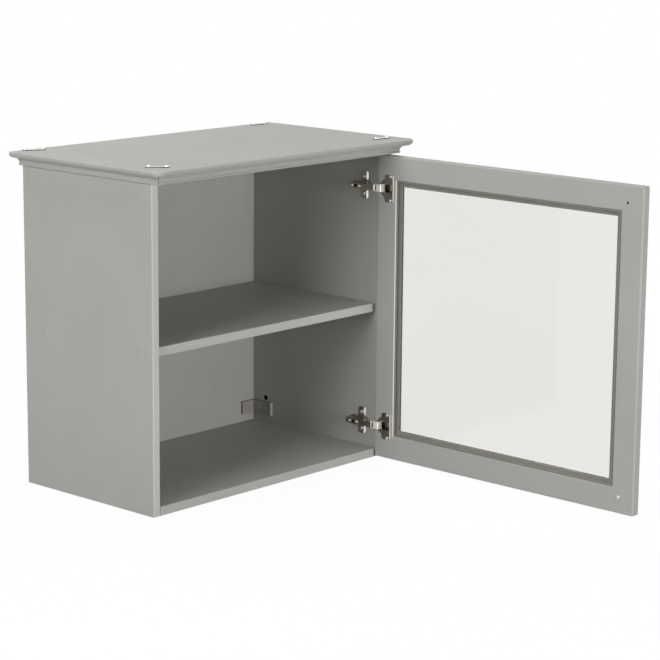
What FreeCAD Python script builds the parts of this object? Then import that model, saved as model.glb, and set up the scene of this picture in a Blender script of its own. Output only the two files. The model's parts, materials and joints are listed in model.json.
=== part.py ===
import FreeCAD, Part
import math
import os
import re
import Sketcher

# Kitchen wall cabinet with one glass door on the right, drawn with the door open at a right angle.
# Millimetres, +Z up. The origin is on the wall, at the bottom centre of the back.
# The front of the cabinet looks along -Y.

SIZES = (
    ("cab_width", 600, "carcass width over the sides"),
    ("cab_depth", 332, "carcass depth, wall to front"),
    ("side_height", 583, "height of the side panels"),
    ("board", 16, "thickness of the carcass boards"),
    ("back_thick", 3, "thickness of the back panel"),
    ("back_rebate", 8, "how far the back panel laps each side"),
    ("shelf_level", 281, "underside of the fixed shelf"),
    ("shelf_setback", 8, "shelf front behind the carcass front"),
    ("edge_round", 2.5, "rounding of the side panels' front edges"),
    ("edge_ease", 1, "rounding of the bottom's and shelf's front edges"),
    ("relief_dia", 10, "blind hole above each lower bracket"),
    ("relief_deep", 9, "depth of that hole"),
    ("relief_back", 37, "that hole from the wall"),
    ("relief_level", 65, "that hole above the bottom"),
    ("top_projection", 18, "top panel in front of the carcass"),
    ("moulding_out", 22, "how far the cove moulding stands out"),
    ("moulding_lip", 3, "flat under the moulding's top step"),
    ("moulding_step", 1.5, "height of the moulding's top step"),
    ("bead_tall", 4, "height of the bead under the cove"),
    ("bead_quirk", 1, "flat between the bead and the cove"),
    ("crown_thick", 10, "thickness of the crown board"),
    ("crown_overhang", 31, "crown board beyond the top panel"),
    ("crown_corner", 18, "plan radius of the crown's front corners"),
    ("crown_ovolo", 6.5, "rounding of the crown's lower edge"),
    ("crown_ease", 2.5, "rounding of the crown's upper edge"),
    ("joint_fit", 0.05, "radial room round screws, dowels and nails"),
    ("tip_room", 0.5, "room past the tip of a screw or dowel"),
    ("row_front", 37, "front screw row behind the carcass front"),
    ("row_rear", 45, "rear screw row from the wall"),
    ("carcass_screw_dia", 6.4, "carcass screw shank"),
    ("carcass_screw_long", 48, "carcass screw below its head"),
    ("carcass_head_dia", 9.6, "carcass screw head"),
    ("carcass_head_tall", 3, "carcass screw head height"),
    ("carcass_head_sink", 4, "head seat below the side's face"),
    ("cap_dia", 13, "screw cover cap"),
    ("cap_thick", 0.8, "screw cover cap thickness"),
    ("dowel_dia", 8, "dowel diameter"),
    ("dowel_long", 30, "dowel length"),
    ("dowel_sink", 11, "dowel in the thickness of a board"),
    ("dowel_front", 120, "front dowel behind the carcass front"),
    ("dowel_rear", 120, "rear dowel from the wall"),
    ("top_screw_dia", 4.2, "top panel screw shank"),
    ("top_screw_long", 42, "top panel screw below its head"),
    ("top_head_dia", 8.4, "top panel screw head"),
    ("top_head_tall", 3, "top panel screw head height"),
    ("top_row_front", 60, "front top screw behind the carcass front"),
    ("top_row_rear", 60, "rear top screw from the wall"),
    ("crown_screw_dia", 4, "crown screw shank"),
    ("crown_screw_long", 18, "crown screw above its head"),
    ("crown_head_dia", 8, "crown screw head"),
    ("crown_head_tall", 3, "crown screw head height"),
    ("crown_row_in", 60, "outer crown screws in from the side's face"),
    ("crown_row_front", 40, "front crown screws behind the carcass front"),
    ("crown_row_rear", 40, "rear crown screws from the wall"),
    ("pin_nail_dia", 1.6, "pin nail in the mouldings"),
    ("pin_nail_long", 22, "pin nail length"),
    ("pin_nail_bite", 8, "pin nail in the moulding"),
    ("pin_nail_end", 60, "front moulding's end pin nails from the panel corner"),
    ("back_nail_dia", 1.8, "back panel nail shank"),
    ("back_nail_long", 20, "back panel nail below its head"),
    ("back_nail_head_dia", 4, "back panel nail head"),
    ("back_nail_head_tall", 0.8, "back panel nail head height"),
    ("back_nail_end", 40, "end nail from the panel's edge"),
    ("strap_long", 42, "corner strap length"),
    ("strap_wide", 12, "corner strap width"),
    ("strap_thick", 1.5, "corner strap thickness"),
    ("strap_span", 30, "corner strap hole spacing"),
    ("strap_side_in", 14, "strap centre in from the side's face"),
    ("strap_front_in", 49, "front strap centres behind the crown's front edge"),
    ("strap_rear_in", 15, "rear strap centres from the wall"),
    ("strap_screw_dia", 3.9, "strap screw shank"),
    ("strap_screw_long", 10, "strap screw below its head"),
    ("strap_head_dia", 7, "strap screw head"),
    ("strap_head_tall", 2.4, "strap screw head height"),
    ("bracket_back", 35, "bracket flange on the back panel"),
    ("bracket_side", 53, "bracket flange on the side panel"),
    ("bracket_tall", 26, "bracket height"),
    ("bracket_thick", 3.5, "bracket sheet thickness"),
    ("bracket_bend", 2, "inside radius of the bracket's bend"),
    ("bracket_low", 31, "lower brackets above the bottom"),
    ("bracket_high", 31, "upper brackets below the side's top"),
    ("wall_hole_dia", 6.5, "wall screw hole"),
    ("wall_hole_in", 22, "wall screw hole from the corner"),
    ("bracket_screw_near", 20, "near bracket screw from the corner"),
    ("bracket_screw_far", 42, "far bracket screw from the corner"),
    ("bracket_screw_dia", 3.9, "bracket screw shank"),
    ("bracket_screw_long", 13, "bracket screw below its head"),
    ("bracket_head_dia", 7.5, "bracket screw head"),
    ("bracket_head_tall", 2.4, "bracket screw head height"),
    ("door_thick", 18, "door thickness"),
    ("door_side_gap", 1.5, "closed door inside the cabinet's width, each side"),
    ("door_bottom_gap", 3, "door above the bottom of the sides"),
    ("door_top_gap", 1.5, "door below the top panel"),
    ("open_inset", 8, "open door's outer face in from the side's face"),
    ("open_gap", 3, "open door's hinge edge in front of the carcass"),
    ("frame_wide", 56, "width of the stiles and rails"),
    ("door_round", 3, "rounding of the door's outer edges"),
    ("tenon_long", 10, "stub tenon length"),
    ("tenon_thick", 6, "stub tenon thickness"),
    ("tenon_shoulder", 8, "tenon shoulder at the rail's edges"),
    ("tenon_setback", 3, "tenon behind the door's outer face"),
    ("tenon_fit", 0.1, "room round a tenon"),
    ("glass_rebate", 10, "rebate width round the door opening"),
    ("rebate_deep", 7, "rebate depth from the inner face"),
    ("glass_thick", 4, "glass thickness"),
    ("glass_fit", 1, "room round the glass"),
    ("gasket_wide", 3, "gasket width on the glass"),
    ("gasket_thick", 2, "gasket height on the glass"),
    ("gasket_fit", 0.1, "room round the gasket"),
    ("knob_edge", 31.4, "knob from the door's free edge"),
    ("knob_level", 29.4, "knob above the door's lower edge"),
    ("knob_base_dia", 16, "knob foot"),
    ("knob_base_tall", 3, "knob foot height"),
    ("knob_neck_dia", 11, "knob neck"),
    ("knob_neck_end", 11, "knob neck's end above the door"),
    ("knob_head_dia", 26, "knob head"),
    ("knob_rim_low", 13, "lower rim of the knob head above the door"),
    ("knob_rim_high", 19, "upper rim of the knob head above the door"),
    ("knob_tall", 23, "knob height above the door"),
    ("knob_screw_dia", 4, "knob screw shank"),
    ("knob_screw_bite", 8, "knob screw in the knob"),
    ("knob_screw_head_dia", 8, "knob screw head"),
    ("knob_screw_head_tall", 2.4, "knob screw head height"),
    ("pilot_dia", 4.5, "spare knob pilot hole"),
    ("pilot_deep", 9, "spare knob pilot hole depth"),
    ("pilot_edge", 33, "spare pilot hole from the free edge"),
    ("pilot_level", 31, "spare pilot hole below the door's top"),
    ("hinge_inset", 62, "hinge centres from the door's ends"),
    ("pivot_in", 34, "arm pivot from the side's outer face"),
    ("pin_dia", 2.5, "hinge pin"),
    ("pin_fit", 0.03, "radial room of a pin in its seat"),
    ("pin_run", 0.05, "radial room of a pin in the moving link"),
    ("pin_head_dia", 3.8, "rivet head of the arm pin"),
    ("pin_head_tall", 0.5, "rivet head thickness"),
    ("arm_eye", 3.2, "radius of the arm's eye"),
    ("arm_half", 5.3, "half width of the arm"),
    ("arm_cheek", 1.2, "thickness of the arm's cheeks"),
    ("arm_web", 1.6, "thickness of the arm's web"),
    ("arm_neck", 16, "length of the arm's shallow neck"),
    ("arm_drop", 8, "arm cheeks beyond the pivot, towards the side"),
    ("arm_long", 61, "arm's rear end behind the pivot"),
    ("arm_screw_front", 34, "adjusting screw behind the pivot"),
    ("arm_screw_rear", 52, "fixing screw behind the pivot"),
    ("arm_screw_dia", 4, "arm screw shank"),
    ("arm_screw_long", 9, "arm screw below its head"),
    ("arm_head_dia", 6.6, "arm screw head"),
    ("arm_head_tall", 2, "arm screw head height"),
    ("rib_start", 24, "plate rib behind the pivot"),
    ("rib_long", 34, "plate rib length"),
    ("rib_fit", 0.1, "room between the rib and the arm's cheeks"),
    ("foot_half", 8, "half width of the plate's foot"),
    ("foot_room", 0.4, "room between the foot and the arm's cheeks"),
    ("wing_thick", 3, "plate wing thickness"),
    ("wing_wide", 17, "plate wing width"),
    ("wing_long", 52, "plate length over the wings"),
    ("plate_span", 32, "plate screw spacing"),
    ("plate_screw_dia", 4.8, "plate screw shank"),
    ("plate_screw_long", 12, "plate screw below its head"),
    ("plate_head_dia", 8, "plate screw head"),
    ("plate_head_tall", 2.2, "plate screw head height"),
    ("link_half", 2, "half width of the link's strip"),
    ("link_cheek", 1.3, "thickness of the link's cheeks"),
    ("link_room", 0.3, "room between the arm and the link's cheeks"),
    ("link_web", 1.2, "thickness of the link's web"),
    ("link_web_start", 6, "web's start from the arm pivot"),
    ("elbow_side", 2, "link elbow from the pivot, towards the side"),
    ("elbow_front", 15, "link elbow in front of the pivot"),
    ("cup_edge", 22, "cup centre from the door's edge"),
    ("cup_dia", 35, "cup bore"),
    ("cup_wall", 1.5, "cup wall"),
    ("cup_deep", 12.5, "cup depth in the door"),
    ("cup_floor", 1.5, "cup floor"),
    ("cup_fit", 0.1, "room round the cup in its bore"),
    ("cup_pivot_edge", 13.476, "cup pin from the door's edge"),
    ("cup_pivot_deep", 3.544, "cup pin below the door's inner face"),
    ("cup_pin_bite", 0.65, "cup pin's bite in the cup wall"),
    ("flange_edge", 17.6, "cup flange from the door's edge"),
    ("flange_wide", 21.3, "cup flange width"),
    ("flange_long", 52, "cup flange length"),
    ("flange_thick", 1.2, "cup flange thickness"),
    ("flange_round", 5, "cup flange corner radius"),
    ("cup_screw_edge", 31.5, "cup screws from the door's edge"),
    ("cup_screw_span", 45, "cup screw spacing"),
    ("cup_screw_dia", 3.5, "cup screw shank"),
    ("cup_screw_long", 13, "cup screw below its head"),
    ("cup_head_dia", 6.8, "cup screw head"),
    ("cup_head_tall", 2.2, "cup screw head height"),
)

# Places worked out from the sizes, as formulas.
HALF = "(cab_width / 2)"
INNER = "(cab_width / 2 - board)"
FRONT = "(-cab_depth)"
SHELF_MID = "(shelf_level + board / 2)"
BOTTOM_MID = "(board / 2)"
TOP_LOW = "side_height"
TOP_HIGH = "(side_height + board)"
CROWN_HIGH = "(side_height + board + crown_thick)"
TOP_DEPTH = "(cab_depth + top_projection)"
DOOR_IN = "(cab_width / 2 - open_inset - door_thick)"
DOOR_OUT = "(cab_width / 2 - open_inset)"
DOOR_WIDE = "(cab_width - 2 * door_side_gap)"
DOOR_TALL = "(side_height - door_bottom_gap - door_top_gap)"
DOOR_LOW = "door_bottom_gap"
DOOR_HIGH = "(side_height - door_top_gap)"
HINGE_EDGE = "(-cab_depth - open_gap)"
FREE_EDGE = "(%s - %s)" % (HINGE_EDGE, DOOR_WIDE)
RAIL_LONG = "(%s - 2 * frame_wide)" % DOOR_WIDE
PIVOT_X = "(cab_width / 2 - pivot_in)"
PIVOT_Y = FRONT
CUP_PIN_X = "(%s + cup_pivot_deep)" % DOOR_IN
CUP_PIN_Y = "(%s - cup_pivot_edge)" % HINGE_EDGE
LINK_HALF_TALL = "(arm_half + link_room + link_cheek)"

# A cutting tool runs this far past the face that it opens.
OVER = 1
HANDS = (("left", -1), ("right", 1))
HINGES = (("upper", "(%s - hinge_inset)" % DOOR_HIGH), ("lower", "(%s + hinge_inset)" % DOOR_LOW))
ALONG = {
    "z": FreeCAD.Rotation(),
    "-z": FreeCAD.Rotation(FreeCAD.Vector(1, 0, 0), 180),
    "x": FreeCAD.Rotation(FreeCAD.Vector(0, 1, 0), 90),
    "-x": FreeCAD.Rotation(FreeCAD.Vector(0, 1, 0), -90),
    "y": FreeCAD.Rotation(FreeCAD.Vector(1, 0, 0), -90),
    "-y": FreeCAD.Rotation(FreeCAD.Vector(1, 0, 0), 90),
}

doc = FreeCAD.newDocument("kitchen_wall_cabinet")
sheet = doc.addObject("Spreadsheet::Sheet", "Sizes")
for row, (alias, number, note) in enumerate(SIZES, start=1):
    sheet.set("A%d" % row, note)
    sheet.set("B%d" % row, str(number))
    sheet.setAlias("B%d" % row, alias)
doc.recompute()
ALIAS = re.compile(r"\b(%s)\b" % "|".join(alias for alias, number, note in SIZES))


def formula(text):
    """Formula text with each size named as a cell of the sheet."""
    return ALIAS.sub(r"Sizes.\1", str(text))


def measure(text):
    """Number that a formula gives now."""
    return float(sheet.evalExpression(formula(text)))


def bind(item, prop, text):
    item.setExpression(prop, formula(text))


def place(item, at, turn=None):
    """Turn an object and tie its base point to the sheet."""
    if turn is not None:
        item.Placement = FreeCAD.Placement(FreeCAD.Vector(), turn)
    for axis, text in zip("xyz", at):
        bind(item, "Placement.Base." + axis, text)


def box(name, size, at):
    item = doc.addObject("Part::Box", name)
    for prop, text in zip(("Length", "Width", "Height"), size):
        bind(item, prop, text)
    place(item, at)
    return item


def rod(name, dia, length, at, way):
    """Cylinder that starts at a point and runs one way along an axis."""
    item = doc.addObject("Part::Cylinder", name)
    bind(item, "Radius", "(%s) / 2" % dia)
    bind(item, "Height", length)
    place(item, at, ALONG[way])
    return item


def fuse(name, shapes):
    item = doc.addObject("Part::MultiFuse", name)
    item.Shapes = shapes
    item.Refine = True
    return item


def cut(name, base, tools):
    """Base with every tool taken away."""
    item = doc.addObject("Part::Cut", name)
    item.Base = base
    item.Tool = tools[0] if len(tools) == 1 else fuse(name + "_tools", tools)
    return item


def group(name, members):
    item = doc.addObject("Part::Compound", name)
    item.Links = members
    return item


def shift(at, way, text):
    """Point moved along an axis by a formula."""
    sign = "-" if way.startswith("-") else "+"
    return tuple("%s %s (%s)" % (old, sign, text) if axis == way[-1] else old
                 for axis, old in zip("xyz", at))


def screw(name, at, way, kind):
    """Screw or nail whose head sits on the given point; its shank runs the given way."""
    back = way[1:] if way.startswith("-") else "-" + way
    shank = rod(name + "_shank", kind["dia"], kind["long"], at, way)
    head = rod(name + "_head", kind["head_dia"], kind["head_tall"], at, back)
    return fuse(name, [shank, head])


def screw_hole(name, at, way, kind):
    """Clear hole for the shank of a screw."""
    start = shift(at, way, "-%d" % OVER)
    length = "%s + tip_room + %d" % (kind["long"], OVER)
    return rod(name, kind["dia"] + " + 2 * joint_fit", length, start, way)


def head_hole(name, at, way, kind, deep):
    """Room for a sunk screw head, open towards the side that it is driven from."""
    back = way[1:] if way.startswith("-") else "-" + way
    return rod(name, kind["head_dia"] + " + 2 * joint_fit", "%s + %d" % (deep, OVER), at, back)


def fastener(prefix):
    """The four sizes of one kind of screw or nail."""
    return {"dia": prefix[0] + "_dia", "long": prefix[0] + "_long",
            "head_dia": prefix[1] + "_dia", "head_tall": prefix[1] + "_tall"}


def rounded_board(name, size, at, rounds):
    """Board whose edges, picked by a test on each edge, are rounded."""
    body = doc.addObject("PartDesign::Body", name)
    last = body.newObject("PartDesign::AdditiveBox", name + "_blank")
    for prop, text in zip(("Length", "Width", "Height"), size):
        bind(last, prop, text)
    place(body, at)
    for number, (radius, test) in enumerate(rounds, start=1):
        doc.recompute()
        edges = ["Edge%d" % i for i, edge in enumerate(last.Shape.Edges, start=1) if test(edge)]
        rounding = body.newObject("PartDesign::Fillet", "%s_round_%d" % (name, number))
        rounding.Base = (last, edges)
        bind(rounding, "Radius", radius)
        last = rounding
    return body


def runs(edge, axis):
    """True for an edge that is parallel to an axis."""
    spread = edge.BoundBox
    lengths = {"x": spread.XLength, "y": spread.YLength, "z": spread.ZLength}
    return all(length < 1e-6 for other, length in lengths.items() if other != axis)


def lies(edge, axis, text):
    """True for an edge that lies whole on a plane across an axis."""
    level = measure(text)
    ends = {"x": (edge.BoundBox.XMin, edge.BoundBox.XMax),
            "y": (edge.BoundBox.YMin, edge.BoundBox.YMax),
            "z": (edge.BoundBox.ZMin, edge.BoundBox.ZMax)}
    return all(abs(end - level) < 1e-6 for end in ends[axis])


def outline(body, name, plane, points):
    """Closed sketch. A third value on a point makes the line that leaves it an arc:
    the arc's radius in chord lengths, plus where it swells to the left of the way round."""
    sketch = body.newObject("Sketcher::SketchObject", name)
    support = [part for part in body.Origin.OriginFeatures if part.Role == plane][0]
    sketch.AttachmentSupport = [(support, "")]
    sketch.MapMode = "FlatFace"
    spots = [FreeCAD.Vector(measure(point[0]), measure(point[1]), 0) for point in points]
    follow = spots[1:] + spots[:1]
    for point, start, end in zip(points, spots, follow):
        if len(point) == 2:
            sketch.addGeometry(Part.LineSegment(start, end), False)
            continue
        chord = end - start
        share = abs(point[2])
        swell = share - math.sqrt(share ** 2 - 0.25)
        left = FreeCAD.Vector(-chord.y, chord.x, 0) * math.copysign(swell, point[2])
        sketch.addGeometry(Part.Arc(start, start + chord * 0.5 + left, end), False)
    count = len(points)
    first = [1 if (sketch.getPoint(i, 1) - spots[i]).Length < 1e-6 else 2 for i in range(count)]
    for i in range(count):
        after = (i + 1) % count
        join = Sketcher.Constraint("Coincident", i, 3 - first[i], after, first[after])
        sketch.addConstraint(join)
    for i, point in enumerate(points):
        for kind, text, number in (("DistanceX", point[0], spots[i].x), ("DistanceY", point[1], spots[i].y)):
            spot = sketch.addConstraint(Sketcher.Constraint(kind, -1, 1, i, first[i], number))
            sketch.setExpression("Constraints[%d]" % spot, formula(text))
        if len(point) == 3:
            other = points[(i + 1) % count]
            chord = "sqrt((%s - (%s))^2 + (%s - (%s))^2)" % (other[0], point[0], other[1], point[1])
            size = (follow[i] - spots[i]).Length * abs(point[2])
            turn = sketch.addConstraint(Sketcher.Constraint("Radius", i, size))
            sketch.setExpression("Constraints[%d]" % turn, formula("%.6f * %s" % (abs(point[2]), chord)))
    return sketch


def pad(body, name, sketch, length, reverse=False, middle=False):
    item = body.newObject("PartDesign::Pad", name)
    item.Profile = sketch
    item.SideType = "Symmetric" if middle else "One side"
    item.Reversed = reverse
    bind(item, "Length", length)
    return item


def pocket(body, name, sketch, reverse):
    """Cut right through, on the side of the sketch that holds the solid."""
    item = body.newObject("PartDesign::Pocket", name)
    item.Profile = sketch
    item.Type = "ThroughAll"
    item.Reversed = reverse
    return item


# The radius of a quarter circle is this many chords, and of a near half circle this many.
QUARTER = math.sqrt(0.5)
HALF_TURN = 0.5001

CARCASS_SCREW = fastener(("carcass_screw", "carcass_head"))
TOP_SCREW = fastener(("top_screw", "top_head"))
CROWN_SCREW = fastener(("crown_screw", "crown_head"))
STRAP_SCREW = fastener(("strap_screw", "strap_head"))
BRACKET_SCREW = fastener(("bracket_screw", "bracket_head"))
BACK_NAIL = fastener(("back_nail", "back_nail_head"))
ARM_SCREW = fastener(("arm_screw", "arm_head"))
PLATE_SCREW = fastener(("plate_screw", "plate_head"))
CUP_SCREW = fastener(("cup_screw", "cup_head"))

parts = []
left_tools = []
right_tools = []
side_tools = {"left": left_tools, "right": right_tools}
bottom_tools = []
shelf_tools = []
top_tools = []
back_tools = []
crown_tools = []

# Carcass screws: two through each side into the bottom and two into the shelf, under cover caps.
carcass_screws = []
caps = []
for hand, sign in HANDS:
    way = "-x" if sign > 0 else "x"
    for level_name, level, board_tools in (("bottom", BOTTOM_MID, bottom_tools),
                                           ("shelf", SHELF_MID, shelf_tools)):
        for row_name, depth in (("front", FRONT + " + row_front"), ("rear", "-row_rear")):
            name = "%s_%s_%s" % (hand, level_name, row_name)
            face = ("%d * %s" % (sign, HALF), depth, level)
            seat = shift(face, way, "carcass_head_sink")
            carcass_screws.append(screw("carcass_screw_" + name, seat, way, CARCASS_SCREW))
            hole = screw_hole("carcass_hole_" + name, seat, way, CARCASS_SCREW)
            sink = head_hole("carcass_sink_" + name, seat, way, CARCASS_SCREW, "carcass_head_sink")
            side_tools[hand] += [hole, sink]
            board_tools.append(hole)
            outward = "x" if sign > 0 else "-x"
            caps.append(rod("cap_" + name, "cap_dia", "cap_thick", face, outward))
parts.append(group("carcass_screws", carcass_screws))
parts.append(group("screw_cover_caps", caps))

# Dowels: level ones between the sides and the bottom, upright ones between the sides and the top.
dowels = []
for hand, sign in HANDS:
    inward = "-x" if sign > 0 else "x"
    for row_name, depth in (("front", FRONT + " + dowel_front"), ("rear", "-dowel_rear")):
        name = "%s_%s" % (hand, row_name)
        joint = ("%d * %s" % (sign, INNER), depth, BOTTOM_MID)
        start = shift(joint, inward, "-dowel_sink")
        dowels.append(rod("bottom_dowel_" + name, "dowel_dia", "dowel_long", start, inward))
        hole = rod("bottom_dowel_hole_" + name, "dowel_dia + 2 * joint_fit", "dowel_long + 2 * tip_room",
                   shift(start, inward, "-tip_room"), inward)
        side_tools[hand].append(hole)
        bottom_tools.append(hole)
        joint = ("%d * (%s - board / 2)" % (sign, HALF), depth, TOP_LOW)
        start = shift(joint, "-z", "-dowel_sink")
        dowels.append(rod("top_dowel_" + name, "dowel_dia", "dowel_long", start, "-z"))
        hole = rod("top_dowel_hole_" + name, "dowel_dia + 2 * joint_fit", "dowel_long + 2 * tip_room",
                   shift(start, "-z", "-tip_room"), "-z")
        side_tools[hand].append(hole)
        top_tools.append(hole)
parts.append(group("carcass_dowels", dowels))

# Top panel screws: down through the top panel into the upper edges of the sides, heads flush.
top_screws = []
for hand, sign in HANDS:
    for row_name, depth in (("front", FRONT + " + top_row_front"), ("rear", "-top_row_rear")):
        name = "%s_%s" % (hand, row_name)
        seat = ("%d * (%s - board / 2)" % (sign, HALF), depth, TOP_HIGH + " - top_head_tall")
        top_screws.append(screw("top_screw_" + name, seat, "-z", TOP_SCREW))
        hole = screw_hole("top_hole_" + name, seat, "-z", TOP_SCREW)
        top_tools += [hole, head_hole("top_sink_" + name, seat, "-z", TOP_SCREW, "top_head_tall")]
        side_tools[hand].append(hole)
parts.append(group("top_panel_screws", top_screws))

# Crown screws: up through the top panel into the crown board, heads flush with the ceiling inside.
crown_screws = []
for column in (-1, 0, 1):
    for row_name, depth in (("front", FRONT + " + crown_row_front"), ("rear", "-crown_row_rear")):
        name = "%s_%s" % (row_name, ("left", "middle", "right")[column + 1])
        seat = ("%d * (%s - crown_row_in)" % (column, HALF), depth, TOP_LOW + " + crown_head_tall")
        crown_screws.append(screw("crown_screw_" + name, seat, "z", CROWN_SCREW))
        hole = screw_hole("crown_hole_" + name, seat, "z", CROWN_SCREW)
        top_tools += [hole, head_hole("crown_sink_" + name, seat, "z", CROWN_SCREW, "crown_head_tall")]
        crown_tools.append(hole)
parts.append(group("crown_screws", crown_screws))

# Back panel nails: into the rear edges of the sides, the bottom and the shelf, heads flush.
back_nails = []
side_nail_count = 6
board_nail_count = 5
nail_spots = []
for hand, sign in HANDS:
    across = "%d * (%s + back_rebate / 2)" % (sign, INNER)
    for i in range(side_nail_count):
        level = "back_nail_end + %d / %d * (side_height - 2 * back_nail_end)" % (i, side_nail_count - 1)
        nail_spots.append(("%s_%d" % (hand, i + 1), across, level, side_tools[hand]))
for board_name, level, tools in (("bottom", BOTTOM_MID, bottom_tools), ("shelf", SHELF_MID, shelf_tools)):
    for i in range(board_nail_count):
        reach = "(%s - back_nail_end)" % INNER
        across = "-%s + %d / %d * 2 * %s" % (reach, i, board_nail_count - 1, reach)
        nail_spots.append(("%s_%d" % (board_name, i + 1), across, level, tools))
for name, across, level, tools in nail_spots:
    seat = (across, "-back_nail_head_tall", level)
    back_nails.append(screw("back_nail_" + name, seat, "-y", BACK_NAIL))
    hole = screw_hole("back_nail_hole_" + name, seat, "-y", BACK_NAIL)
    back_tools += [hole, head_hole("back_nail_sink_" + name, seat, "-y", BACK_NAIL, "back_nail_head_tall")]
    tools.append(hole)
parts.append(group("back_panel_nails", back_nails))

# Corner brackets: bent steel angles in the rear corners. The side flange is screwed to the side,
# and the wall screw goes through the back flange and the back panel.
bracket_screws = []
for level_name, low in (("lower", "bracket_low"), ("upper", "(side_height - bracket_high - bracket_tall)")):
    for hand, sign in HANDS:
        name = "%s_%s_bracket" % (level_name, hand)
        body = doc.addObject("PartDesign::Body", name + "_sheet")
        bend = "(bracket_bend + bracket_thick)"
        sketch = outline(body, name + "_outline", "XY_Plane", (
            ("-bracket_back", "0"),
            ("-" + bend, "0", QUARTER),
            ("0", "-" + bend),
            ("0", "-bracket_side"),
            ("-bracket_thick", "-bracket_side"),
            ("-bracket_thick", "-" + bend, -QUARTER),
            ("-" + bend, "-bracket_thick"),
            ("-bracket_back", "-bracket_thick"),
        ))
        pad(body, name + "_pad", sketch, "bracket_tall")
        # The left bracket is the right one turned over.
        base = low if sign > 0 else "%s + bracket_tall" % low
        turn = FreeCAD.Rotation() if sign > 0 else FreeCAD.Rotation(FreeCAD.Vector(0, 1, 0), 180)
        place(body, ("%d * %s" % (sign, INNER), "-back_thick", base), turn)
        middle = "%s + bracket_tall / 2" % low
        wall_hole = rod(name + "_wall_hole", "wall_hole_dia", "back_thick + bracket_thick + %d" % (2 * OVER),
                        ("%d * (%s - wall_hole_in)" % (sign, INNER), str(OVER), middle), "-y")
        back_tools.append(wall_hole)
        tools = [wall_hole]
        into = "x" if sign > 0 else "-x"
        for spot in ("near", "far"):
            seat = ("%d * (%s - bracket_thick)" % (sign, INNER),
                    "-back_thick - bracket_screw_" + spot, middle)
            bracket_screws.append(screw("%s_%s_screw" % (name, spot), seat, into, BRACKET_SCREW))
            hole = screw_hole("%s_%s_hole" % (name, spot), seat, into, BRACKET_SCREW)
            side_tools[hand].append(hole)
            tools.append(hole)
        parts.append(cut(name, body, tools))
parts.append(group("bracket_screws", bracket_screws))

# Blind hole in each side, above the lower bracket.
for hand, sign in HANDS:
    into = "x" if sign > 0 else "-x"
    mouth = ("%d * (%s - %d)" % (sign, INNER, OVER), "-relief_back", "relief_level")
    side_tools[hand].append(rod(hand + "_relief", "relief_dia", "relief_deep + %d" % OVER, mouth, into))

# Corner straps: flat steel plates with round ends on the crown board, each with two screws.
# Each strap lies at its own angle from +X, as it was screwed on.
front_strap = "(strap_front_in - %s - crown_overhang)" % TOP_DEPTH
rear_strap = "(-strap_rear_in)"
STRAPS = (("front_left", -1, front_strap, -44), ("front_right", 1, front_strap, 2),
          ("rear_left", -1, rear_strap, -30), ("rear_right", 1, rear_strap, -3))
strap_screws = []
for name, sign, depth, angle in STRAPS:
    body = doc.addObject("PartDesign::Body", name + "_plate")
    straight = "(strap_long / 2 - strap_wide / 2)"
    sketch = outline(body, name + "_outline", "XY_Plane", (
        ("-" + straight, "-strap_wide / 2"),
        (straight, "-strap_wide / 2", -HALF_TURN),
        (straight, "strap_wide / 2"),
        ("-" + straight, "strap_wide / 2", -HALF_TURN),
    ))
    pad(body, name + "_pad", sketch, "strap_thick")
    middle = ("%d * (%s - strap_side_in)" % (sign, HALF), depth, CROWN_HIGH)
    place(body, middle, FreeCAD.Rotation(FreeCAD.Vector(0, 0, 1), angle))
    tools = []
    for end_name, end in (("outer", -1), ("inner", 1)):
        seat = ("%s + %d * cos(%d deg) * strap_span / 2" % (middle[0], end, angle),
                "%s + %d * sin(%d deg) * strap_span / 2" % (middle[1], end, angle),
                CROWN_HIGH + " + strap_thick")
        strap_screws.append(screw("%s_%s_screw" % (name, end_name), seat, "-z", STRAP_SCREW))
        hole = screw_hole("%s_%s_hole" % (name, end_name), seat, "-z", STRAP_SCREW)
        tools.append(hole)
        crown_tools.append(hole)
    parts.append(cut(name + "_strap", body, tools))
parts.append(group("strap_screws", strap_screws))

# Cove mouldings: a bead, a cove and a small step, planted on three edges of the top panel and
# mitred where they meet at the front corners. Each runs along its own +Y with +X facing out.
cove = "(board - moulding_step - bead_tall)"
cove_start = "(moulding_out - moulding_lip - %s)" % cove
bead_start = "(%s - bead_quirk)" % cove_start
past = "(moulding_out + %d)" % OVER
# The pin nails of the side mouldings keep between the screws and dowels of the top panel.
front_nails = ["pin_nail_end + %d / 3 * (cab_width - 2 * pin_nail_end)" % i for i in range(4)]
left_nails = ["top_row_rear / 2",
              "(cab_depth + dowel_rear - dowel_front) / 2",
              "cab_depth - top_row_front / 2"]
right_nails = ["%s - (%s)" % (TOP_DEPTH, from_wall) for from_wall in left_nails]
MOULDINGS = (
    ("front_moulding", "cab_width", ("-" + HALF, "-" + TOP_DEPTH, TOP_LOW), "x", True, True, front_nails),
    ("left_moulding", TOP_DEPTH, ("-" + HALF, "0", TOP_LOW), "-y", False, True, left_nails),
    ("right_moulding", TOP_DEPTH, (HALF, "-" + TOP_DEPTH, TOP_LOW), "y", True, False, right_nails),
)
RUNWAY_ANGLE = {"x": -90, "-y": 180, "y": 0}
INWARD = {"x": "y", "-y": "x", "y": "-x"}
pin_nails = []
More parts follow.
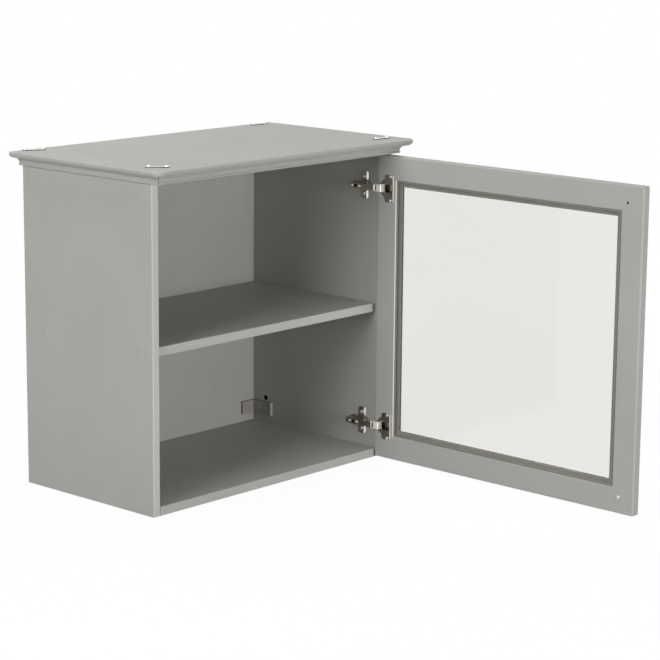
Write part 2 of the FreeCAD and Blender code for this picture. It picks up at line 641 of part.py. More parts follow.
for name, length, corner, runway, near_mitre, far_mitre, nails in MOULDINGS:
    body = doc.addObject("PartDesign::Body", name + "_strip")
    sketch = outline(body, name + "_profile", "XZ_Plane", (
        ("0", "0"),
        (bead_start, "0", -HALF_TURN),
        (bead_start, "bead_tall"),
        (cove_start, "bead_tall", QUARTER),
        ("%s + %s" % (cove_start, cove), "bead_tall + " + cove),
        ("moulding_out", "bead_tall + " + cove),
        ("moulding_out", "board"),
        ("0", "board"),
    ))
    pad(body, name + "_pad", sketch, "%s + %d * moulding_out" % (length, far_mitre), reverse=True)
    if near_mitre:
        pad(body, name + "_near_pad", sketch, "moulding_out")
        near = outline(body, name + "_near_mitre", "XY_Plane", (
            ("-%d" % OVER, "%d" % OVER), (past, "-" + past), ("-%d" % OVER, "-" + past)))
        pocket(body, name + "_near_cut", near, True)
    if far_mitre:
        far = outline(body, name + "_far_mitre", "XY_Plane", (
            ("-%d" % OVER, "%s - %d" % (length, OVER)), (past, "%s + %s" % (length, past)),
            ("-%d" % OVER, "%s + %s" % (length, past))))
        pocket(body, name + "_far_cut", far, True)
    place(body, corner, FreeCAD.Rotation(FreeCAD.Vector(0, 0, 1), RUNWAY_ANGLE[runway]))
    inward = INWARD[runway]
    tools = []
    for number, along in enumerate(nails, start=1):
        middle = shift(shift(corner, runway, along), "z", "board / 2")
        tip = shift(middle, inward, "-pin_nail_bite")
        pin_nails.append(rod("%s_nail_%d" % (name, number), "pin_nail_dia", "pin_nail_long", tip, inward))
        hole = rod("%s_nail_hole_%d" % (name, number), "pin_nail_dia + 2 * joint_fit",
                   "pin_nail_long + 2 * tip_room", shift(tip, inward, "-tip_room"), inward)
        tools.append(hole)
        top_tools.append(hole)
    parts.append(cut(name, body, tools))
parts.append(group("moulding_pins", pin_nails))

# Hinges: each has a plate on the right side, an arm on the plate, a bent link between the arm's pin
# and the cup's pin, and a cup let into the door.
stile_tools = []
plate_screws = []
arm_screws = []
arm_pins = []
cup_screws = []
cup_pins = []


def slab(name, start, run, offset, size, low, tall):
    """Block laid along a line in plan: offset and size are along the line and to its left."""
    length = "sqrt((%s)^2 + (%s)^2)" % run
    item = doc.addObject("Part::Box", name)
    for prop, text in zip(("Length", "Width", "Height"), size + (tall,)):
        bind(item, prop, text)
    at = ("%s + ((%s) * (%s) - (%s) * (%s)) / %s" % (start[0], offset[0], run[0], offset[1], run[1], length),
          "%s + ((%s) * (%s) + (%s) * (%s)) / %s" % (start[1], offset[0], run[1], offset[1], run[0], length),
          low)
    place(item, at)
    bind(item, "Placement.Rotation.Angle", "atan2(%s; %s)" % (run[1], run[0]))
    return item


def hinge_plate(name, level):
    """Foot and rib under the arm, with two wings screwed to the side panel."""
    rib_half = "(arm_half - arm_cheek - rib_fit)"
    rib_top = "(%s - arm_eye + arm_web)" % PIVOT_X
    foot_top = "(%s + arm_drop + foot_room)" % PIVOT_X
    rib_y = "%s + rib_start" % PIVOT_Y
    rib = box(name + "_rib", ("%s - %s" % (INNER, rib_top), "rib_long", "2 * " + rib_half),
              (rib_top, rib_y, "%s - %s" % (level, rib_half)))
    foot = box(name + "_foot", ("%s - %s" % (INNER, foot_top), "rib_long", "2 * foot_half"),
               (foot_top, rib_y, "%s - foot_half" % level))
    row = "(%s + row_front)" % FRONT
    wings = rounded_board(name + "_wings", ("wing_thick", "wing_wide", "wing_long"),
                          (INNER + " - wing_thick", row + " - wing_wide / 2", "%s - wing_long / 2" % level),
                          (("wing_wide / 4", lambda edge: runs(edge, "x")),))
    tools = []
    for spot, sign in (("low", -1), ("high", 1)):
        seat = (INNER + " - wing_thick", row, "%s + %d * plate_span / 2" % (level, sign))
        plate_screws.append(screw("%s_screw_%s" % (name, spot), seat, "x", PLATE_SCREW))
        hole = screw_hole("%s_hole_%s" % (name, spot), seat, "x", PLATE_SCREW)
        tools.append(hole)
        right_tools.append(hole)
    return fuse(name + "_casting", [rib, foot, wings]), tools


def hinge_arm(name, level, plate_tools):
    """Channel over the rib, open towards the side panel, with an eye for the pin at the front."""
    eye_left = "(%s - arm_eye)" % PIVOT_X
    low = "%s - arm_half" % level
    tall = "2 * arm_half"
    eye = rod(name + "_eye", "2 * arm_eye", tall, (PIVOT_X, PIVOT_Y, low), "z")
    neck = box(name + "_neck", ("2 * arm_eye", "arm_neck", tall), (eye_left, PIVOT_Y, low))
    rear = box(name + "_rear", ("arm_eye + arm_drop", "arm_long - arm_neck", tall),
               (eye_left, "%s + arm_neck" % PIVOT_Y, low))
    gap_half = "(arm_half - arm_cheek)"
    channel = box(name + "_channel",
                  ("arm_eye + arm_drop - arm_web + %d" % OVER, "arm_eye + arm_long + %d" % (2 * OVER),
                   "2 * " + gap_half),
                  (eye_left + " + arm_web", "%s - arm_eye - %d" % (PIVOT_Y, OVER),
                   "%s - %s" % (level, gap_half)))
    seat = rod(name + "_pin_seat", "pin_dia + 2 * pin_fit", "%s + %d" % (tall, 2 * OVER),
               (PIVOT_X, PIVOT_Y, "%s - %d" % (low, OVER)), "z")
    tools = [channel, seat]
    for spot in ("front", "rear"):
        at = (eye_left, "%s + arm_screw_%s" % (PIVOT_Y, spot), level)
        arm_screws.append(screw("%s_screw_%s" % (name, spot), at, "x", ARM_SCREW))
        hole = screw_hole("%s_hole_%s" % (name, spot), at, "x", ARM_SCREW)
        tools.append(hole)
        plate_tools.append(hole)
    # The pin passes both link cheeks and is riveted over outside them.
    reach = "(%s + pin_run)" % LINK_HALF_TALL
    pin = [rod(name + "_pin_rod", "pin_dia", "2 * " + reach,
               (PIVOT_X, PIVOT_Y, "%s - %s" % (level, reach)), "z"),
           rod(name + "_pin_top", "pin_head_dia", "pin_head_tall",
               (PIVOT_X, PIVOT_Y, "%s + %s" % (level, reach)), "z"),
           rod(name + "_pin_foot", "pin_head_dia", "pin_head_tall",
               (PIVOT_X, PIVOT_Y, "%s - %s" % (level, reach)), "-z")]
    arm_pins.append(fuse(name + "_pin", pin))
    return cut(name, fuse(name + "_channel_blank", [eye, neck, rear]), tools)


def hinge_link(name, level):
    """Two bent cheeks joined by a web in front of the arm."""
    start = (PIVOT_X, PIVOT_Y)
    elbow = ("(%s + elbow_side)" % PIVOT_X, "(%s - elbow_front)" % PIVOT_Y)
    end = (CUP_PIN_X, CUP_PIN_Y)
    first = ("elbow_side", "-elbow_front")
    second = ("%s - %s" % (end[0], elbow[0]), "%s - %s" % (end[1], elbow[1]))
    first_long = "sqrt(elbow_side^2 + elbow_front^2)"
    second_long = "sqrt((%s)^2 + (%s)^2)" % second
    low = "%s - %s" % (level, LINK_HALF_TALL)
    tall = "2 * " + LINK_HALF_TALL
    strip = ("0", "-link_half")
    blank = [slab(name + "_first", start, first, strip, (first_long, "2 * link_half"), low, tall),
             slab(name + "_second", elbow, second, strip, (second_long, "2 * link_half"), low, tall)]
    for spot, at in (("start", start), ("elbow", elbow), ("end", end)):
        blank.append(rod("%s_%s" % (name, spot), "2 * link_half", tall, at + (low,), "z"))
    gap_half = "(arm_half + link_room)"
    gap_low = "%s - %s" % (level, gap_half)
    web_inside = "-link_half + link_web"
    before = "-link_half - %d" % OVER
    both = "%s + %s + 2 * link_half + %d" % (first_long, second_long, 2 * OVER)
    open_side = slab(name + "_open_side", start, first, (before, web_inside), (both, both),
                     gap_low, "2 * " + gap_half)
    open_end = slab(name + "_open_end", start, first, (before, before),
                    ("link_web_start + link_half + %d" % OVER, "2 * link_half + %d" % (2 * OVER)),
                    gap_low, "2 * " + gap_half)
    tools = [open_side, open_end]
    for spot, at in (("arm", start), ("cup", end)):
        tools.append(rod("%s_%s_hole" % (name, spot), "pin_dia + 2 * pin_run", "%s + %d" % (tall, 2 * OVER),
                         at + ("%s - %d" % (low, OVER),), "z"))
    return cut(name, fuse(name + "_strip", blank), tools)


def hinge_cup(name, level):
    """Round cup in the door with a screwed flange on the door's inner face."""
    middle = (DOOR_IN, "%s - cup_edge" % HINGE_EDGE, level)
    shell = rod(name + "_shell", "cup_dia", "cup_deep", middle, "x")
    flange = rounded_board(name + "_flange", ("flange_thick", "flange_wide", "flange_long"),
                           (DOOR_IN + " - flange_thick", "%s - flange_edge - flange_wide" % HINGE_EDGE,
                            "%s - flange_long / 2" % level),
                           (("flange_round", lambda edge: runs(edge, "x")),))
    cavity = rod(name + "_cavity", "cup_dia - 2 * cup_wall",
                 "cup_deep - cup_floor + flange_thick + %d" % OVER,
                 shift(middle, "-x", "flange_thick + %d" % OVER), "x")
    # The pin crosses the cup and is held in the wall at both ends.
    reach = "(sqrt((cup_dia / 2 - cup_wall)^2 - (cup_edge - cup_pivot_edge)^2) + cup_pin_bite)"
    pin_foot = (CUP_PIN_X, CUP_PIN_Y, "%s - %s" % (level, reach))
    cup_pins.append(rod(name + "_pin", "pin_dia", "2 * " + reach, pin_foot, "z"))
    seat = rod(name + "_pin_seat", "pin_dia + 2 * pin_fit", "cup_dia", (CUP_PIN_X, CUP_PIN_Y,
               "%s - cup_dia / 2" % level), "z")
    tools = [cavity, seat]
    for spot, sign in (("low", -1), ("high", 1)):
        at = (DOOR_IN + " - flange_thick", "%s - cup_screw_edge" % HINGE_EDGE,
              "%s + %d * cup_screw_span / 2" % (level, sign))
        cup_screws.append(screw("%s_screw_%s" % (name, spot), at, "x", CUP_SCREW))
        hole = screw_hole("%s_hole_%s" % (name, spot), at, "x", CUP_SCREW)
        tools.append(hole)
        stile_tools.append(hole)
    stile_tools.append(rod(name + "_bore", "cup_dia + 2 * cup_fit", "cup_deep + cup_fit + %d" % OVER,
                           shift(middle, "-x", str(OVER)), "x"))
    return cut(name, fuse(name + "_blank", [shell, flange]), tools)


for which, level in HINGES:
    casting, plate_tools = hinge_plate(which + "_hinge_plate", level)
    parts.append(hinge_arm(which + "_hinge_arm", level, plate_tools))
    parts.append(cut(which + "_hinge_plate", casting, plate_tools))
    parts.append(hinge_link(which + "_hinge_link", level))
    parts.append(hinge_cup(which + "_hinge_cup", level))
parts.append(group("hinge_plate_screws", plate_screws))
parts.append(group("hinge_arm_screws", arm_screws))
parts.append(group("hinge_arm_pins", arm_pins))
parts.append(group("cup_screws", cup_screws))
parts.append(group("cup_pins", cup_pins))

# Carcass boards: the sides stand full height, the bottom and shelf lie between them,
# the back is let into their rear edges and the top panel lies over all.
for hand, sign in HANDS:
    edge = "-" + HALF if sign < 0 else INNER
    blank = rounded_board(hand + "_side_blank", ("board", "cab_depth", "side_height"), (edge, FRONT, "0"),
                          (("edge_round", lambda edge: runs(edge, "z") and lies(edge, "y", "0")),))
    rebate_start = "-%s - back_rebate" % INNER if sign < 0 else "%s - %d" % (INNER, OVER)
    rebate = box(hand + "_back_rebate", ("back_rebate + %d" % OVER, "back_thick + %d" % OVER,
                 "side_height + %d" % (2 * OVER)), (rebate_start, "-back_thick", "-%d" % OVER))
    parts.append(cut(hand + "_side_panel", blank, [rebate] + side_tools[hand]))

inside = "2 * " + INNER
bottom = rounded_board("bottom_blank", (inside, "cab_depth - back_thick", "board"), ("-" + INNER, FRONT, "0"),
                       (("edge_ease", lambda edge: runs(edge, "x") and lies(edge, "y", "0")),))
parts.append(cut("bottom_panel", bottom, bottom_tools))
shelf = rounded_board("shelf_blank", (inside, "cab_depth - back_thick - shelf_setback", "board"),
                      ("-" + INNER, FRONT + " + shelf_setback", "shelf_level"),
                      (("edge_ease", lambda edge: runs(edge, "x") and lies(edge, "y", "0")),))
parts.append(cut("shelf", shelf, shelf_tools))
back = box("back_blank", (inside + " + 2 * back_rebate", "back_thick", "side_height"),
           ("-%s - back_rebate" % INNER, "-back_thick", "0"))
parts.append(cut("back_panel", back, back_tools))
top = box("top_blank", ("cab_width", TOP_DEPTH, "board"), ("-" + HALF, "-" + TOP_DEPTH, TOP_LOW))
parts.append(cut("top_panel", top, top_tools))

# Crown board: round front corners, a bold rounding below and a small one above; square at the wall.
crown_width = "(cab_width + 2 * crown_overhang)"
crown_depth = "(%s + crown_overhang)" % TOP_DEPTH
crown = rounded_board(
    "crown_blank", (crown_width, crown_depth, "crown_thick"),
    ("-%s / 2" % crown_width, "-" + crown_depth, TOP_HIGH),
    (("crown_corner", lambda edge: runs(edge, "z") and lies(edge, "y", "0")),
     ("crown_ovolo", lambda edge: lies(edge, "z", "0") and not lies(edge, "y", crown_depth)),
     ("crown_ease", lambda edge: lies(edge, "z", "crown_thick") and not lies(edge, "y", crown_depth))))
parts.append(cut("crown_board", crown, crown_tools))

# Door frame: full height stiles, rails with stub tenons between them, and a rebate for the glass.
recess_y = "(%s + frame_wide - glass_rebate)" % FREE_EDGE
recess_wide = "(%s + 2 * glass_rebate)" % RAIL_LONG
recess_z = "(%s + frame_wide - glass_rebate)" % DOOR_LOW
recess_tall = "(%s - 2 * frame_wide + 2 * glass_rebate)" % DOOR_TALL
recess = box("glass_recess", ("rebate_deep + %d" % OVER, recess_wide, recess_tall),
             (DOOR_IN + " - %d" % OVER, recess_y, recess_z))
tenon_x = "(%s - tenon_setback - tenon_thick)" % DOOR_OUT
RAILS = (("top", "(%s - frame_wide)" % DOOR_HIGH, "frame_wide"), ("bottom", DOOR_LOW, "0"))
rail_y = "(%s + frame_wide)" % FREE_EDGE
mortises = []
for which, low, outer in RAILS:
    rail = rounded_board(which + "_rail_blank", ("door_thick", RAIL_LONG, "frame_wide"),
                         (DOOR_IN, rail_y, low),
                         (("door_round", lambda edge: runs(edge, "y") and lies(edge, "z", outer)),))
    tenon = box(which + "_rail_tenon",
                ("tenon_thick", RAIL_LONG + " + 2 * tenon_long", "frame_wide - 2 * tenon_shoulder"),
                (tenon_x, rail_y + " - tenon_long", low + " + tenon_shoulder"))
    mortises.append(box(which + "_rail_mortise",
                        ("tenon_thick + 2 * tenon_fit", RAIL_LONG + " + 2 * tenon_long + 2 * tip_room",
                         "frame_wide - 2 * tenon_shoulder + 2 * tenon_fit"),
                        (tenon_x + " - tenon_fit", rail_y + " - tenon_long - tip_room",
                         low + " + tenon_shoulder - tenon_fit")))
    parts.append(cut("door_%s_rail" % which, fuse(which + "_rail_joined", [rail, tenon]), [recess]))

knob_y = "(%s + knob_edge)" % FREE_EDGE
knob_z = "(%s + knob_level)" % DOOR_LOW
knob_seat = (DOOR_IN, knob_y, knob_z)
knob_screw = {"dia": "knob_screw_dia", "long": "(door_thick + knob_screw_bite)",
              "head_dia": "knob_screw_head_dia", "head_tall": "knob_screw_head_tall"}
knob_hole = screw_hole("knob_hole", knob_seat, "x", knob_screw)
pilot = rod("pilot_hole", "pilot_dia", "pilot_deep + %d" % OVER,
            (DOOR_IN + " - %d" % OVER, "%s + pilot_edge" % FREE_EDGE, "%s - pilot_level" % DOOR_HIGH), "x")
STILES = (("hinge", "(%s - frame_wide)" % HINGE_EDGE, "frame_wide", stile_tools),
          ("free", FREE_EDGE, "0", [knob_hole, pilot]))
for which, near, outer, tools in STILES:
    def on_rim(edge):
        side = runs(edge, "z") and lies(edge, "y", outer)
        end = runs(edge, "y") and (lies(edge, "z", "0") or lies(edge, "z", DOOR_TALL))
        return side or end
    stile = rounded_board(which + "_stile_blank", ("door_thick", "frame_wide", DOOR_TALL),
                          (DOOR_IN, near, DOOR_LOW), (("door_round", on_rim),))
    parts.append(cut("door_%s_stile" % which, stile, [recess] + mortises + tools))

# Glass on the lip of the rebate, and the gasket that holds its edge.
pane_x = "(%s + rebate_deep - glass_thick)" % DOOR_IN
parts.append(box("glass_pane",
                 ("glass_thick", recess_wide + " - 2 * glass_fit", recess_tall + " - 2 * glass_fit"),
                 (pane_x, recess_y + " + glass_fit", recess_z + " + glass_fit")))
gasket_x = "(%s - gasket_thick)" % pane_x
gasket = box("gasket_blank",
             ("gasket_thick", recess_wide + " - 2 * gasket_fit", recess_tall + " - 2 * gasket_fit"),
             (gasket_x, recess_y + " + gasket_fit", recess_z + " + gasket_fit"))
gasket_in = "(gasket_fit + gasket_wide)"
gasket_open = box("gasket_opening",
                  ("gasket_thick + %d" % (2 * OVER), "%s - 2 * %s" % (recess_wide, gasket_in),
                   "%s - 2 * %s" % (recess_tall, gasket_in)),
                  (gasket_x + " - %d" % OVER, "%s + %s" % (recess_y, gasket_in),
                   "%s + %s" % (recess_z, gasket_in)))
parts.append(cut("glazing_gasket", gasket, [gasket_open]))

# Turned knob on the door's outer face and the screw that holds it from inside.
parts.append(screw("knob_screw", knob_seat, "x", knob_screw))
turned = doc.addObject("PartDesign::Body", "knob_turning")
profile = outline(turned, "knob_profile", "XY_Plane", (
    ("0", "0"),
    ("0", "knob_base_dia / 2"),
    ("knob_base_tall", "knob_base_dia / 2", -QUARTER),
    ("knob_neck_end", "knob_neck_dia / 2"),
    ("knob_rim_low", "knob_head_dia / 2", 0.6),
    ("knob_rim_high", "knob_head_dia / 2", 1.8),
    ("knob_tall", "knob_neck_dia / 2"),
    ("knob_tall", "0"),
))
knob = turned.newObject("PartDesign::Revolution", "knob_revolution")
knob.Profile = profile
knob.ReferenceAxis = (profile, ["H_Axis"])
knob.Angle = 360
place(turned, (DOOR_OUT, knob_y, knob_z))
parts.append(cut("door_knob", turned, [knob_hole]))

doc.recompute()

# Nothing is written unless every object is sound.
for item in doc.Objects:
    if "Invalid" in item.State or "Error" in item.State:
        raise RuntimeError("%s did not build: %s" % (item.Name, item.State))
for part in parts:
    if part.Shape.isNull() or not part.Shape.isValid():
        raise RuntimeError("%s has no sound shape" % part.Label)

os.makedirs("parts", exist_ok=True)
for part in parts:
    part.Shape.exportStep("parts/%s.step" % part.Label)
print("%d parts written" % len(parts))
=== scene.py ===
import json
import math

import bpy
from mathutils import Matrix, Quaternion, Vector

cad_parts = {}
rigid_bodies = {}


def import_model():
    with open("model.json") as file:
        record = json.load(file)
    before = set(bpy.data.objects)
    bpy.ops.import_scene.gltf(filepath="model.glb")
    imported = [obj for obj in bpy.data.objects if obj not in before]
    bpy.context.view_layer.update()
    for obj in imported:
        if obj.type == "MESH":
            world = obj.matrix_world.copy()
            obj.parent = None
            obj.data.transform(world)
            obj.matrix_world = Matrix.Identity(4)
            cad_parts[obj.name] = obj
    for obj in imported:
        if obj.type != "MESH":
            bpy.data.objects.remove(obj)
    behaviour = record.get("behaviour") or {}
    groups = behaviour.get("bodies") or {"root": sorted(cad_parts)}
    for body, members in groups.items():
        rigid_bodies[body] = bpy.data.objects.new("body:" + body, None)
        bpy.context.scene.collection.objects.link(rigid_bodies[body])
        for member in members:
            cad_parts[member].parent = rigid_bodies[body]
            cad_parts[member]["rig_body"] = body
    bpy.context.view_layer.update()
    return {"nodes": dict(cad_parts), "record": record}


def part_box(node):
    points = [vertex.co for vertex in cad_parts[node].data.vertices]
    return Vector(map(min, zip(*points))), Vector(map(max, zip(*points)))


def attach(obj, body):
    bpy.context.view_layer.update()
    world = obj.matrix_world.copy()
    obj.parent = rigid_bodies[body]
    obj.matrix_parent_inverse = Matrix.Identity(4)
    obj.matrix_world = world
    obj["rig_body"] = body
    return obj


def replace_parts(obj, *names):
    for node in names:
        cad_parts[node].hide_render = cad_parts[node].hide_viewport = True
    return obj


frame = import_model()


# Carcass boards: two sides, a bottom and a fixed shelf in 16 mm veneered board, screwed and dowelled
# together and sprayed a satin warm grey. The grain shows faintly through the paint, and the edges are
# painted lighter as highlights.
def srgb(red, green, blue):
    """Screen colour as the linear colour that shaders take."""
    linear = [c / 12.92 if c <= 0.04045 else ((c + 0.055) / 1.055) ** 2.4
              for c in (red / 255, green / 255, blue / 255)]
    return (*linear, 1.0)


def fill(tree, node, inputs):
    """Fills a node's inputs: a socket is linked, a value is set."""
    for name, value in inputs.items():
        if isinstance(value, bpy.types.NodeSocket):
            tree.links.new(value, node.inputs[name])
        else:
            node.inputs[name].default_value = value


def put(tree, kind, inputs=None, **settings):
    """New node with its settings made and its inputs filled."""
    made = tree.nodes.new(kind)
    for name, value in settings.items():
        setattr(made, name, value)
    fill(tree, made, inputs or {})
    return made


def blend(tree, share, low_colour, high_colour):
    """Colour between two colours, by a share from 0 to 1; a Mix node's sockets go by number."""
    mixed = put(tree, "ShaderNodeMix", {0: share, 6: low_colour, 7: high_colour}, data_type="RGBA")
    return mixed.outputs[2]


def spread(tree, value, low, high, to_low, to_high):
    """Value moved from one range into another."""
    moved = put(tree, "ShaderNodeMapRange", {"Value": value, "From Min": low, "From Max": high,
                                             "To Min": to_low, "To Max": to_high})
    return moved.outputs["Result"]


def speckle(tree, place, fineness, detail=3, roughness=0.55):
    """Noise pattern of a given fineness."""
    pattern = put(tree, "ShaderNodeTexNoise",
                  {"Vector": place, "Scale": fineness, "Detail": detail, "Roughness": roughness})
    return pattern.outputs["Fac"]


def effect(name, inputs, outputs):
    """Node group with named sockets, and its two end nodes."""
    tree = bpy.data.node_groups.new(name, "ShaderNodeTree")
    for label, kind in inputs:
        tree.interface.new_socket(label, in_out="INPUT", socket_type=kind)
    for label, kind in outputs:
        tree.interface.new_socket(label, in_out="OUTPUT", socket_type=kind)
    return tree, tree.nodes.new("NodeGroupInput"), tree.nodes.new("NodeGroupOutput")


def material(name):
    """New material: itself, its node tree, its shader and its Object coordinates."""
    made = bpy.data.materials.new(name)
    made.use_nodes = True
    tree = made.node_tree
    place = tree.nodes.new("ShaderNodeTexCoord").outputs["Object"]
    return made, tree, tree.nodes["Principled BSDF"], place


def raise_relief(tree, shader, height, strength, distance):
    """Bump on a shader from a height pattern."""
    relief = put(tree, "ShaderNodeBump", {"Height": height, "Strength": strength, "Distance": distance})
    fill(tree, shader, {"Normal": relief.outputs["Normal"]})


# Grain under paint, along Z: long streaks, a slow drift of tone and the fine texture of the spray.
STREAK_STRETCH = 0.018
STREAK_FINENESS = 260
DRIFT_FINENESS = 5.5
DRIFT_SHARE = 0.5
SPRAY_FINENESS = 700
SPRAY_SHARE = 0.45
grain_effect, grain_in, grain_out = effect(
    "grain_under_paint", (("Place", "NodeSocketVector"),),
    (("Tone", "NodeSocketFloat"), ("Relief", "NodeSocketFloat")))
grain_place = grain_in.outputs["Place"]
long_place = put(grain_effect, "ShaderNodeMapping",
                 {"Vector": grain_place, "Scale": (1, 1, STREAK_STRETCH)})
streaks = speckle(grain_effect, long_place.outputs["Vector"], STREAK_FINENESS, detail=5, roughness=0.62)
drift = speckle(grain_effect, grain_place, DRIFT_FINENESS, detail=2)
spray = speckle(grain_effect, grain_place, SPRAY_FINENESS, detail=2)
grain_tone = put(grain_effect, "ShaderNodeMix", {0: DRIFT_SHARE, 2: streaks, 3: drift})
grain_relief = put(grain_effect, "ShaderNodeMix", {0: SPRAY_SHARE, 2: streaks, 3: spray})
fill(grain_effect, grain_out, {"Tone": grain_tone.outputs[0], "Relief": grain_relief.outputs[0]})

# Painted edge highlight: 1 on edges, whose paint is made lighter as a highlight, 0 on flat faces, by
# how far the true face leans from a softened one.
FLAT_LEAN = 0.995
EDGE_LEAN = 0.86
edge_effect, edge_in, edge_out = effect(
    "painted_edge_highlight", (("Reach", "NodeSocketFloat"),), (("Highlight", "NodeSocketFloat"),))
soft_face = put(edge_effect, "ShaderNodeBevel", {"Radius": edge_in.outputs["Reach"]}, samples=4)
true_face = put(edge_effect, "ShaderNodeNewGeometry")
lean = put(edge_effect, "ShaderNodeVectorMath", {0: soft_face.outputs["Normal"],
                                                 1: true_face.outputs["True Normal"]},
           operation="DOT_PRODUCT")
highlight_amount = spread(edge_effect, lean.outputs["Value"], FLAT_LEAN, EDGE_LEAN, 0, 1)
fill(edge_effect, edge_out, {"Highlight": highlight_amount})


def edge_highlight_share(tree, reach, share):
    """Share of painted edge highlight at each point of a material."""
    edge = put(tree, "ShaderNodeGroup", {"Reach": reach}, node_tree=edge_effect)
    part = put(tree, "ShaderNodeMath", {0: edge.outputs["Highlight"], 1: share}, operation="MULTIPLY")
    return part.outputs["Value"]


PAINT_LIGHT = srgb(180, 179, 174)
PAINT_DEEP = srgb(174, 173, 168)
# Lighter paint for the painted highlight on edges.
PAINT_HIGHLIGHT = srgb(222, 221, 217)
PAINT_ROUGHNESS = (0.52, 0.62)
BOARD_HIGHLIGHT = 0.65
# Lighter paints for the boards' front edges: painted light on faces that look to the front.
LIT_BAND_LIGHT = srgb(188, 187, 182)
LIT_BAND_DEEP = srgb(182, 181, 176)
BAND_HIGHLIGHT = 0.5
LIT_EDGE_LIGHT = srgb(202, 201, 196)
LIT_EDGE_DEEP = srgb(196, 195, 190)
HIGHLIGHT_REACH = 0.0014
TONE_SPAN = (0.36, 0.64)
NOISE_SPAN = (0.3, 0.7)
GRAIN_TURNS = {"up": (0, 0, 0), "across": (0, math.radians(90), 0), "deep": (math.radians(90), 0, 0)}


def grey_paint(name, grain, light, deep, paint_highlight_share):
    """Satin grey paint over board whose grain runs up, across or deep, with its edges painted lighter
    as highlights.
    """
    made, tree, shader, place = material(name)
    turned = put(tree, "ShaderNodeMapping", {"Vector": place, "Rotation": GRAIN_TURNS[grain]})
    wood = put(tree, "ShaderNodeGroup", {"Place": turned.outputs["Vector"]}, node_tree=grain_effect)
    paint = blend(tree, spread(tree, wood.outputs["Tone"], *TONE_SPAN, 0, 1), deep, light)
    fill(tree, shader, {
        "Base Color": blend(tree, edge_highlight_share(tree, HIGHLIGHT_REACH, paint_highlight_share), paint, PAINT_HIGHLIGHT),
        "Roughness": spread(tree, wood.outputs["Relief"], *NOISE_SPAN, *PAINT_ROUGHNESS),
        "Specular IOR Level": 0.3,
    })
    raise_relief(tree, shader, wood.outputs["Relief"], strength=0.06, distance=0.0004)
    return made


paint_up = grey_paint("grey_paint_up", "up", PAINT_LIGHT, PAINT_DEEP, BOARD_HIGHLIGHT)
paint_across = grey_paint("grey_paint_across", "across", PAINT_LIGHT, PAINT_DEEP, BOARD_HIGHLIGHT)
paint_lit_edge = grey_paint("grey_paint_lit_edge", "up", LIT_EDGE_LIGHT, LIT_EDGE_DEEP, BOARD_HIGHLIGHT)
paint_lit_band = grey_paint("grey_paint_lit_band", "across", LIT_BAND_LIGHT, LIT_BAND_DEEP, BAND_HIGHLIGHT)
MERGE_GAP = 1e-6
FLAT_ANGLE = math.radians(0.2)
SHARP_ANGLE = math.radians(40)


def start_edit(piece):
    """Only this piece is selected, in edit mode."""
    bpy.ops.object.select_all(action="DESELECT")
    piece.select_set(True)
    bpy.context.view_layer.objects.active = piece
    bpy.ops.object.mode_set(mode="EDIT")


def merge_points():
    """Selects all of the piece that is in edit mode and merges its doubled points."""
    bpy.ops.mesh.select_all(action="SELECT")
    bpy.ops.mesh.remove_doubles(threshold=MERGE_GAP)


def merged_copy(node):
    """Copy of a CAD piece with its loose triangles joined into whole faces."""
    piece = bpy.data.objects.new(node + "_piece", frame["nodes"][node].data.copy())
    bpy.context.scene.collection.objects.link(piece)
    start_edit(piece)
    bpy.ops.mesh.customdata_custom_splitnormals_clear()
    merge_points()
    bpy.ops.mesh.dissolve_limited(angle_limit=FLAT_ANGLE)
    bpy.ops.object.mode_set(mode="OBJECT")
    return piece


def round_over(piece, radius, segments=2, stays_sharp=None):
    """Rounds a piece's sharp edges; stays_sharp picks those to leave, from an edge's two ends."""
    start_edit(piece)
    bpy.ops.mesh.select_mode(type="EDGE")
    bpy.ops.mesh.select_all(action="DESELECT")
    bpy.ops.mesh.edges_select_sharp(sharpness=SHARP_ANGLE)
    bpy.ops.object.mode_set(mode="OBJECT")
    mesh = piece.data
    shares = []
    for edge in mesh.edges:
        start, end = [mesh.vertices[v].co for v in edge.vertices]
        leave = stays_sharp is not None and stays_sharp(start, end)
        shares.append(1.0 if edge.select and not leave else 0.0)
    weights = mesh.attributes.new("bevel_weight_edge", "FLOAT", "EDGE")
    weights.data.foreach_set("value", shares)
    rounding = piece.modifiers.new("rounding", "BEVEL")
    rounding.width = radius
    rounding.segments = segments
    rounding.limit_method = "WEIGHT"
    rounding.use_clamp_overlap = False
    bpy.ops.object.modifier_apply(modifier=rounding.name)
    bpy.ops.object.shade_smooth_by_angle(angle=SHARP_ANGLE)
    flat = piece.modifiers.new("flat_faces_stay_flat", "WEIGHTED_NORMAL")
    flat.keep_sharp = True
    bpy.ops.object.modifier_apply(modifier=flat.name)
    return piece


def dress(piece, finish, body):
    """The piece's finish and the body that it moves with."""
    piece.data.materials.clear()
    piece.data.materials.append(finish)
    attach(piece, body)
    return piece


def take_place(piece, node, finish):
    """The piece stands for a CAD node."""
    dress(piece, finish, frame["nodes"][node]["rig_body"])
    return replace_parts(piece, node)


def eased(node, finish, radius, segments=2):
    """A CAD piece's copy with rounded edges, in that piece's place."""
    return take_place(round_over(merged_copy(node), radius, segments), node, finish)


def part_finish(piece, finish, wanted):
    """A second finish on the faces whose normal and centre are wanted."""
    piece.data.materials.append(finish)
    for face in piece.data.polygons:
        if wanted(face.normal, face.center):
            face.material_index = len(piece.data.materials) - 1
    return piece


